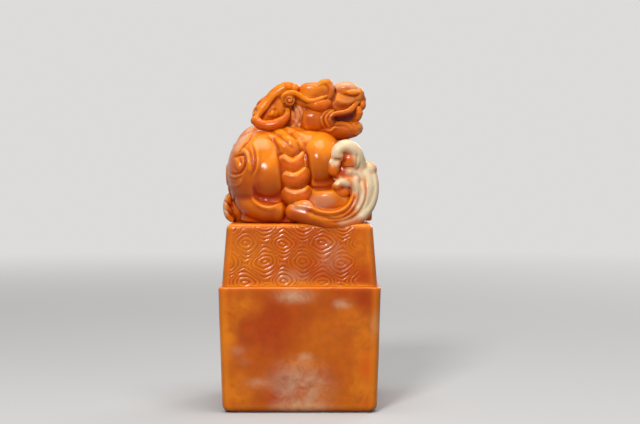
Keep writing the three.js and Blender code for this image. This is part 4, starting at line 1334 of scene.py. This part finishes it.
TAIL_LUMPS = (
    # (column, row, depth), radii
    ((340.4, 156.4, -18.6), (1.7, 1.4, 1.5)),
    ((350.6, 161, -17.4), (2.9, 2.0, 2.9)),
    ((344, 160.4, -16.8), (1.8, 1.6, 3.0)),
    ((350.6, 188, -18.2), (1.7, 1.5, 2.2)),
    ((345, 177, -17.4), (2.8, 1.8, 2.2)),
    ((359.6, 164, -15.4), (2.0, 1.8, 3.4)),
    ((348.4, 165.6, -15.4), (2.8, 2.2, 2.6)),
    ((342, 172, -15.8), (3.2, 2.4, 2.8)),
    ((350, 178, -15.8), (3.2, 2.4, 2.6)),
    ((333.4, 169, -18.6), (2.0, 1.8, 2.2)),
    ((331.4, 163, -18.6), (1.5, 1.3, 1.4)),
    ((336.4, 164, -18.6), (1.4, 1.3, 1.3)),
    ((339.4, 176, -17.2), (2.4, 1.9, 1.9)),
    ((346.6, 170, -16.8), (2.6, 1.8, 2.0)),
    ((355.4, 180.6, -18.2), (1.2, 1.1, 1.3)),
    ((349.4, 172.4, -18), (1.3, 1.2, 1.3)),
    ((341.6, 192.4, -18.6), (2.6, 2.0, 2.0)),
    ((367.4, 169.4, -13.4), (2.9, 2.3, 2.6)),
    ((361.6, 176, -14.8), (2.6, 2.2, 3.0)),
    ((356, 171, -15.4), (2.8, 2.0, 2.6)),
    ((335.6, 186.6, -19.4), (1.2, 1.1, 1.1)),
)
TAIL_GROOVES = (
    ((303, 207), (312, 212.4), (320, 215.4), (332, 216.4),
     (343, 213.4), (350.4, 207), (354.4, 199), (354.8, 191)),
    ((322, 217.4), (335, 219.2), (345, 217), (352.6, 211), (358, 203), (360, 193), (359.6, 185)),
    ((324, 219.8), (338, 221.6), (350, 219), (359.4, 212),
     (364.8, 203), (366.6, 192), (366, 182), (364, 174)),
)
TAIL_BRIGHT_EDGES = (
    ((324, 219.2), (331, 220.6), (339, 220.4)),
    ((309, 204.4), (314, 209), (321, 212), (330, 212.8), (339, 211.4), (346, 207)),
)
CURL_CREASES = (
    ((344.4, 152), (344.8, 157), (344.2, 163)),
    ((356.4, 154), (357.4, 160), (356.6, 167)),
    ((334, 158.6), (338, 159.8), (342, 159)),
    ((343, 168), (349, 167.6), (355, 167.4)),
    ((333, 178.6), (339, 178.4), (345, 177)),
    ((348.4, 187), (350.8, 191), (349.8, 197), (345.6, 200.4)),
)
TAIL_STROKES = ((TAIL_GROOVES, 2.2, -0.3), (TAIL_BRIGHT_EDGES, 1.5, 0.25), (CURL_CREASES, 1.8, -0.4))


class SEAL_OT_tail(bpy.types.Operator):
    """Model the tail with its bands and the curls at its end"""

    bl_idname = "seal.tail"
    bl_label = "Tail"

    def execute(self, context):
        clay = Clay()
        for points, radii in TAIL_BANDS.values():
            clay.strand(from_photo(points), radii)
        for at, radii in TAIL_LUMPS:
            clay.lump(seen(*at), radii)
        nodes = ["tail_outer", "tail_middle", "tail_inner", "tail_crown_curl", "tail_side_curl"]
        strokes = functools.partial(carve, groups=TAIL_STROKES)
        looks = (through(photograph),)
        build_form(
            "tail_carving", clay, nodes, "cream_stone", "tail", strokes, 0.75, smoothing=12, looks=looks
        )
        return {"FINISHED"}


NECK = ((-4, 3, 22), (-3, 0, 28), (1, -2.5, 33))
NECK_RADII = (7.2, 7.2, 6)
NECK_FAR_MASSES = (
    # place in mm over the collar, radii
    ((-3.6, 3.6, 32), (4.6, 4.6, 6.0)),
    ((-2.4, 6.4, 27), (6.4, 4.8, 5.6)),
    ((1.6, 4.4, 29), (4.6, 4.6, 5.4)),
)
SCROLL_ROLL = (
    (255.6, 120.4, -9),
    (260.6, 124.4, -9.6),
    (267.6, 125.8, -10.2),
    (275.6, 124.4, -10.4),
    (282.6, 120.6, -10.2),
    (286.8, 115.4, -9.6),
    (287.8, 110.4, -8.8),
)
SCROLL_ROLL_RADII = (1.5, 1.65, 1.7, 1.65, 1.5, 1.15, 0.8)
SCROLL_STRAP = (
    (255, 120.6, -8.2), (256.6, 116, -8), (261, 109.6, -7.8), (267.6, 102, -7.6),
    (274, 95, -7.6), (281, 90, -7.6), (287.6, 87.6, -7.6), (292, 88.6, -7.2),
)
SCROLL_STRAP_RADII = (1.5, 1.6, 1.7, 1.75, 1.85, 1.95, 2.0, 1.5)
SCROLL_MASSES = (
    # (column, row, depth), radii, turn round the depth's axis
    ((270, 110, -5.2), (6.2, 3.2, 4.4), -0.7),
    ((280.6, 104, -5.6), (3.9, 3.0, 4.6), 0.0),
    ((272.6, 113, -7.9), (1.5, 1.2, 1.3), 0.0),
    ((284, 95, -5.8), (3.4, 2.8, 3.0), 0.0),
    ((288.6, 86.4, -8.0), (1.7, 1.5, 1.5), 0.0),
    ((294.6, 88.0, -7.8), (1.6, 1.5, 1.4), 0.0),
)
SCROLL_LINES = (
    ((278.6, 95.4), (273, 103), (266.4, 112.4), (262, 117.6)),
    ((268.6, 114.6), (270.6, 109.8), (274.6, 109.6), (276, 113.4), (273, 116.4)),
)
SCROLL_COILS = (
    (FROM_CHEST, spiral((8.4, 34.6), 4.8, 0.6, 1.5, 0.75)),
    (FROM_LEFT, spiral((7.2, 33.4), 3.0, 0.5, 1.2, 0.25)),
)
LOCKS_FAR = {
    "mane_lock_far_upper": ((-3, 5.4, 37), (-7, 7.6, 33.6), (-8.6, 9.4, 29.4), (-6.6, 10.6, 26.6)),
    "mane_lock_far_lower": ((0.6, 6, 33.6), (-1.6, 8.8, 30), (-1.4, 10.6, 26), (1.2, 11.6, 23.6)),
}
LOCK_RADII = (0.9, 2.3, 2.2, 1.2)
HAIR_ROWS = 7
HAIR_PITCH = 2.1
HAIR_SWAY = 0.9  # how far a hair swings to either side
HAIR_WAVES = 0.62  # in radians per mm
HAIR_HEIGHTS = np.linspace(21, 38, 12)
NECK_HAIR_GAP = 2.4  # in pixels
NECK_HAIR = (
    ((288, 108), (292, 112), (293, 118), (290, 124)), ((294, 106), (298, 112), (298, 119), (294, 127)),
    ((300, 108), (302.5, 114), (302, 121), (299, 128)), ((289, 117), (294, 119), (299, 125), (300, 131)),
)


def carve_hair(mesh):
    gaps = [shifted(strand, NECK_HAIR_GAP) for strand in NECK_HAIR]
    carve(mesh, [(NECK_HAIR, 2.2, 0.45), (gaps, 1.6, -0.3)])
    grooves = []
    for i in range(HAIR_ROWS):
        across = HAIR_PITCH * (i - (HAIR_ROWS - 1) / 2)
        wave = [(across + HAIR_SWAY * math.sin(HAIR_WAVES * z + i), z) for z in HAIR_HEIGHTS]
        grooves.append(upright(wave))
    ridges = [shifted(groove, 0.5 * HAIR_PITCH) for groove in grooves]
    views = [drawing(view) for view in SIDE_VIEWS]
    carve(mesh, [(grooves, 0.75, -0.5, 0.1), (ridges, 0.9, 0.3, 0.1)], views, SIDE_SKIN)


def carve_scroll(mesh):
    carve(mesh, [(SCROLL_LINES, 2.0, -0.4)])
    for view, coil in SCROLL_COILS:
        carve(mesh, [([upright(coil)], 0.9, -0.6, 0.1)], [drawing(view)], SIDE_SKIN)


class SEAL_OT_mane(bpy.types.Operator):
    """Model the neck, the rolled mane and its locks"""

    bl_idname = "seal.mane"
    bl_label = "Mane and neck"

    def execute(self, context):
        neck = Clay()
        neck.strand(over_collar(NECK), NECK_RADII)
        for at, radii in NECK_FAR_MASSES:
            neck.lump(over_collar([at])[0], radii)
        build_form("neck_carving", neck, ["neck"], "amber_stone", "mane", carve_hair)
        scroll = Clay()
        scroll.strand(from_photo(SCROLL_ROLL), SCROLL_ROLL_RADII)
        scroll.strand(from_photo(SCROLL_STRAP), SCROLL_STRAP_RADII, out=(-0.3, -1, 0.3), flat=0.8)
        for at, radii, turn in SCROLL_MASSES:
            scroll.lump(seen(*at), radii, turn=(0, turn, 0))
        build_form("mane_scroll_carving", scroll, ["mane_scroll"], "red_stone", "mane", carve_scroll, 0.75)
        for name, points in LOCKS_FAR.items():
            lock = Clay()
            lock.strand(over_collar(points), LOCK_RADII, out=(0, 1, 0), flat=0.7)
            build_form(name + "_carving", lock, [name], "amber_stone", voxel_share=0.7)
        return {"FINISHED"}


# The head: masses as pixels with the distance from its middle plane, which both halves share
HEAD_MIDDLE = -4.0
SKULL_MASSES = (
    # (column, row), distance from the middle plane, radii in mm, how square
    ((311, 99.5), 0.0, (6.4, 5.6, 4.6), 2.1),
    ((315, 91.8), 2.6, (4.9, 3.0, 2.9), 2.9),
    ((314, 120), 2.4, (4.4, 3.9, 4.0), 2.3),
    ((325, 119), 1.8, (3.6, 3.9, 4.0), 2.3),
    ((345.4, 89.6), 0.8, (4.0, 3.1, 2.5), 2.2),
    ((352, 92.6), 2.3, (2.5, 1.5, 1.2), 2.0),
    ((358, 95), 0.6, (2.0, 2.4, 2.6), 2.0),
    ((362.4, 104.6), 0.5, (1.15, 1.7, 1.7), 2.0),
    ((343, 117.6), 0.0, (4.6, 1.2, 3.2), 2.4),
    ((352, 113), 0.0, (3.2, 1.4, 3.0), 2.4),
)
MUZZLE = ((317, 103), (331, 102), (343, 99.6), (353.4, 98), (360, 99.4))
MUZZLE_RADII = (4.4, 4.2, 3.9, 2.9, 1.9)
JAW = ((316, 127), (330, 130.4), (343, 130.8), (353, 129.6))
JAW_OFFSETS = (1.6, 1.5, 1.2, 0.6)
JAW_RADII = (3.4, 3.1, 2.9, 2.4)
CHIN_BALL = (357, 128)
CHIN_RADII = (1.7, 2.6, 1.9)
FANG = ((358.6, 108.6), (359.4, 113), (358.4, 117.6))
FANG_OFFSET = 2.2
FANG_RADII = (0.9, 1.15, 0.8)
HORN_BUTTON = (289.4, 100.2)
HORN_COIL = spiral(HORN_BUTTON, 4.6, 0.6, 1.3, 0.85)
HEAD_STRANDS = {
    # name: pixels, distances from the middle plane, radii, flatness
    "upper_lip": (
        ((331.6, 122.6), (330, 119), (332.4, 115.4), (338, 113.8),
         (345, 112.8), (350.4, 110.2), (354.6, 105.6), (359.4, 101)),
        (4.7, 4.9, 4.8, 4.5, 4.1, 3.5, 2.8, 1.7),
        (0.6, 0.85, 0.95, 1.0, 1.0, 0.95, 0.8, 0.55), 0.7,
    ),
    "brow": (
        ((303, 96), (308, 93.6), (313, 89.4), (318, 85.8), (323.6, 83),
         (328.4, 83.6), (330.8, 88), (330.8, 93.4), (328.6, 97.4)),
        (5.1, 5.2, 5.1, 4.7, 4.0, 3.8, 4.2, 4.4, 4.4),
        (0.25, 0.4, 0.5, 0.7, 1.15, 1.35, 1.2, 1.05, 0.8), 1.0,
    ),
    "horn": (
        ((282.8, 102), (283, 96.6), (287.6, 93.2), (293.6, 92.8), (299, 95), (303.6, 98.6), (309.5, 101),
         (316, 100.4), (322, 98), (327, 96.2)),
        (6.4, 6.6, 6.6, 6.4, 6.2, 6.0, 6.0, 6.0, 5.8, 5.2),
        (0.6, 0.8, 0.9, 0.9, 0.85, 0.8, 0.8, 0.75, 0.7, 0.45), 1.0,
    ),
    "ear": (
        ((306.6, 103), (312, 104.6), (317.6, 105.6), (323, 105), (326.4, 103.6)),
        (4.6, 4.9, 4.9, 4.7, 4.4),
        (0.7, 1.4, 2.0, 2.1, 1.6), 1.0,
    ),
}
HEAD_BALLS = {
    # name: pixel, distance from the middle plane, radii, fineness
    "brow": ((327.6, 97.6), 4.4, (1.0, 0.9, 0.9), 3),
    "horn": (HORN_BUTTON, 6.0, (1.75, 1.5, 1.75), 4),
    "eye": ((317, 92.4), 4.2, (1.6, 1.1, 1.2), 4),
}

# Strokes on the skull and the jaw, as pixels
CHEEK_REAR = ((304, 110), (303.4, 118), (304.4, 126), (308, 131))
CHEEK_RIDGES = (
    ((329.4, 127.4), (325.6, 120), (327.6, 114.6), (333.6, 110.8), (341, 109)),
    ((324.8, 129.6), (321.6, 120), (324, 113.8), (330.4, 108.6)),
)
CHEEK_GROOVES = (
    ((331.6, 126), (327.8, 120.4), (329.8, 115.6), (335, 112), (342, 110.8)),
    ((327.2, 128.8), (323.6, 120), (325.8, 114.2), (331.6, 109.8)),
)
SNOUT_CREASE = ((333.4, 88), (335, 93), (334.4, 98), (332, 103))
NOSTRIL_UNDER = ((362, 96.4), (356, 96), (349, 96.2), (343.6, 94), (341.6, 90.6))
NOSTRIL_PAD = ((345, 92.2), (350, 89.6), (356, 89.8), (360, 92.4), (357, 94.6), (350, 94.8))
SNOUT_FOLDS = (
    ((336, 98.6), (342, 102), (349, 102.4), (355, 99.4)),
    ((332.6, 106), (339, 109.6), (345.6, 108.6), (351, 104.6)),
)
JAW_RIDGES = (
    ((329.6, 122), (333, 124.2), (338, 123), (344.6, 123.2), (349.6, 125.6), (352.4, 130)),
    ((325.4, 129.6), (330.4, 130.6), (334.6, 127.4), (339.6, 128)),
)
JAW_GROOVES = (((331, 126), (336, 126), (342, 125.6), (347, 127.6)),)
CHIN_RIM = ((353, 123.4), (358.6, 122.4), (362.4, 126), (362, 131), (357.6, 133.8), (353, 133.6))


def both_sides(column, row, offset):
    """A pixel of the head at a distance from the middle plane, and its mirror image on the far side."""
    at = seen(column, row, HEAD_MIDDLE - offset)
    return at, Vector((at.x, 2 * HEAD_MIDDLE - at.y, at.z))


def far_photograph(places):
    """The photograph's view of the head's other half, as if the head were mirrored in its middle plane."""
    flat, ahead = photograph(places * (1, -1, 1) + (0, 2 * HEAD_MIDDLE, 0))
    return flat, ahead * (1, -1, 1)


HEAD_LOOKS = (photograph, far_photograph)


def mirrored(points, offsets, far):
    return [both_sides(*point, offset)[far] for point, offset in zip(points, along(offsets, len(points) - 1))]


def carve_skull(mesh):
    for look in HEAD_LOOKS:
        work = Carving(mesh, look)
        work.step(CHEEK_REAR[::-1], 6, 0.3)
        work.line(SNOUT_CREASE, 2.4, -0.6)
        work.line(NOSTRIL_UNDER, 1.8, -0.15, ends=0.3)
        for ridge in CHEEK_RIDGES:
            work.line(ridge, 2.0, 0.3, ends=0.3)
        for groove in CHEEK_GROOVES:
            work.line(groove, 1.5, -0.22, ends=0.3)
        for fold in SNOUT_FOLDS:
            work.line(fold, 3.4, 0.3)
        work.pad(NOSTRIL_PAD, 2.0, 0.45)
        work.apply(relax=1)


JAW_STROKES = ((JAW_RIDGES, 2.2, 0.35, 0.3), (JAW_GROOVES, 1.6, -0.2, 0.35), ([CHIN_RIM], 1.6, 0.3))
carve_jaw = functools.partial(carve, groups=JAW_STROKES, looks=HEAD_LOOKS, relax=1)
carve_horn = functools.partial(carve, groups=[([HORN_COIL], 1.4, -0.4)], looks=HEAD_LOOKS, relax=1)
HEAD_PAIRS = (
    # what the head has on both sides: name, slot, share of the cells' size, strokes
    ("upper_lip", "red_stone", 0.6, None),
    ("brow", "amber_stone", 0.65, None),
    ("horn", "amber_stone", 0.65, carve_horn),
    ("ear", "red_stone", 0.65, None),
    ("eye", "cream_stone", 0.6, None),
)


class SEAL_OT_head(bpy.types.Operator):
    """Model the head: skull, muzzle, lips, brows, nose, jaw, horns, ears, eyes and fangs"""

    bl_idname = "seal.head"
    bl_label = "Head"

    def execute(self, context):
        sides = (("right", 0), ("left", 1))
        skull = Clay()
        for (column, row), offset, radii, square in SKULL_MASSES:
            for at in both_sides(column, row, offset)[: 2 if offset else 1]:
                skull.lump(at, radii, square=square)
        skull.strand(mirrored(MUZZLE, [0], 0), MUZZLE_RADII, out=(0, 0, 1))
        nodes = ["skull", "nose"]
        build_form("skull_carving", skull, nodes, "red_stone", "head", carve_skull, 0.75, looks=HEAD_LOOKS)
        jaw = Clay()
        jaw.lump(both_sides(*CHIN_BALL, 0)[0], CHIN_RADII)
        fangs = Clay()
        for _, far in sides:
            jaw.strand(mirrored(JAW, JAW_OFFSETS, far), JAW_RADII, out=(0, 0, 1))
            fangs.strand(mirrored(FANG, [FANG_OFFSET], far), FANG_RADII)
        nodes = ["lower_jaw"]
        build_form("lower_jaw_carving", jaw, nodes, "red_stone", "head", carve_jaw, 0.75, looks=HEAD_LOOKS)
        build_form("fangs_carving", fangs, ["fangs"], "cream_stone", "head", None, 0.6, looks=HEAD_LOOKS)
        for side, far in sides:
            for name, slot, share, strokes in HEAD_PAIRS:
                clay = Clay()
                if name in HEAD_STRANDS:
                    points, offsets, radii, flat = HEAD_STRANDS[name]
                    clay.strand(mirrored(points, offsets, far), radii, (0, 2 * far - 1, 0), flat)
                if name in HEAD_BALLS:
                    pixel, offset, radii, detail = HEAD_BALLS[name]
                    clay.lump(both_sides(*pixel, offset)[far], radii, detail=detail)
                node = f"{name}_{side}"
                build_form(node + "_carving", clay, [node], slot, "head", strokes, share, looks=HEAD_LOOKS)
        return {"FINISHED"}


BACKDROP = (0.72, 0.712, 0.7)
FLOOR_SHADE = (0.55, 0.544, 0.535)  # as the viewer sees the floor
FLOOR_BOUNCE = (0.12, 0.115, 0.11)  # as the floor lights the seal
FLOOR_HALF = 6.0  # in m, as all lengths of the stage
FLOOR_ENDS = (0.1, 0.9)  # how far from the seal the floor starts to turn into the backdrop, and where it has
SKY_LIGHT = (0.95, 0.96, 1)
SKY_STRENGTH = 0.07
LAMP_TARGET = Vector((0, 0, 0.06))
LAMPS = (
    # name, place, size, power in W
    ("key_light", (-0.2, -0.72, 0.5), 0.16, 5.3),
    ("fill_light", (0.5, -0.62, 0.3), 0.3, 0.6),
    ("top_light", (0.04, -0.1, 0.75), 0.45, 4.0),
    ("back_light", (0.35, 0.6, 0.4), 0.3, 1.3),
)


def shown_to_viewer(paint):
    """1 for the rays of the camera, of reflections and through glass, 0 for the rest."""
    camera, glossy, glass = (
        paint.node("ShaderNodeLightPath", ray)
        for ray in ("Is Camera Ray", "Is Glossy Ray", "Is Transmission Ray")
    )
    return paint.maths("MAXIMUM", paint.maths("MAXIMUM", camera, glossy), glass)


def floor_paint():
    """Pale paint that keeps the seal's shadow, throws little light back at the seal and runs into the colour
    of the backdrop far away."""
    material = bpy.data.materials.new("pale_floor")
    paint = Paint(material)
    viewer = shown_to_viewer(paint)
    shade = paint.mix(viewer, FLOOR_BOUNCE, FLOOR_SHADE)
    matt = {"Base Color": shade, "Roughness": 0.9, "Specular IOR Level": 0.1}
    floor = paint.node("ShaderNodeBsdfPrincipled", "BSDF", matt)
    backdrop = paint.node("ShaderNodeEmission", "Emission", {"Color": BACKDROP})
    far = paint.fade(paint.node("ShaderNodeTexCoord", "Object"), *FLOOR_ENDS)
    paint.finish("ShaderNodeOutputMaterial", paint.product(far, viewer), floor, backdrop)
    return material


class SEAL_OT_stage(bpy.types.Operator):
    """Set the pale floor, the soft light and the camera of the photograph"""

    bl_idname = "seal.stage"
    bl_label = "Stage"

    def execute(self, context):
        bm = bmesh.new()
        bmesh.ops.create_grid(bm, x_segments=1, y_segments=1, size=FLOOR_HALF)
        floor = new_object("floor", new_mesh("floor", bm))
        floor.data.materials.append(floor_paint())

        world = bpy.data.worlds.new("studio")
        paint = Paint(world)
        sky, backdrop = (
            paint.node("ShaderNodeBackground", "Background", {"Color": colour, "Strength": strength})
            for colour, strength in ((SKY_LIGHT, SKY_STRENGTH), (BACKDROP, 1.0))
        )
        paint.finish("ShaderNodeOutputWorld", shown_to_viewer(paint), sky, backdrop)
        context.scene.world = world

        for name, at, size, power in LAMPS:
            lamp = new_object(name, bpy.data.lights.new(name, "AREA"))
            lamp.data.size = size
            lamp.data.energy = power
            lamp.location = at
            lamp.rotation_euler = (LAMP_TARGET - Vector(at)).to_track_quat("-Z", "Y").to_euler()

        camera = bpy.data.cameras.new("camera")
        camera.sensor_width = SENSOR_WIDTH
        camera.lens = FOCAL_PX * SENSOR_WIDTH / IMAGE_WIDTH
        camera.shift_y = -(IMAGE_HEIGHT / 2 - HORIZON_PX) / IMAGE_WIDTH
        camera.clip_start = 0.01
        camera_object = new_object("camera", camera)
        camera_object.location = CAMERA_AT * MM
        camera_object.rotation_euler = (math.pi / 2, 0, 0)
        context.scene.camera = camera_object
        context.scene.view_settings.view_transform = "Standard"
        return {"FINISHED"}


class SEAL_PT_panel(bpy.types.Panel):
    """The seal's pieces and settings"""

    bl_label = "Carved Stone Seal"
    bl_idname = "SEAL_PT_panel"
    bl_space_type = "VIEW_3D"
    bl_region_type = "UI"
    bl_category = "Seal"

    def draw(self, context):
        layout = self.layout
        for settings in (context.scene.seal_stone, context.scene.seal_shape):
            box = layout.box()
            for name in settings.__annotations__:
                box.prop(settings, name)
        for operator in OPERATORS:
            layout.operator(operator.bl_idname)


OPERATORS = (
    SEAL_OT_stage,
    SEAL_OT_block,
    SEAL_OT_collar,
    SEAL_OT_body,
    SEAL_OT_legs,
    SEAL_OT_spine,
    SEAL_OT_tail,
    SEAL_OT_mane,
    SEAL_OT_head,
)
CLASSES = (SealStoneSettings, SealShapeSettings, *OPERATORS, SEAL_PT_panel)


def register():
    for cls in CLASSES:
        bpy.utils.register_class(cls)
    bpy.types.Scene.seal_stone = PointerProperty(type=SealStoneSettings)
    bpy.types.Scene.seal_shape = PointerProperty(type=SealShapeSettings)


def unregister():
    del bpy.types.Scene.seal_shape
    del bpy.types.Scene.seal_stone
    for cls in reversed(CLASSES):
        bpy.utils.unregister_class(cls)


def main():
    register()
    for operator in OPERATORS:
        group, name = operator.bl_idname.split(".")
        getattr(getattr(bpy.ops, group), name)()


if __name__ == "__main__":
    main()
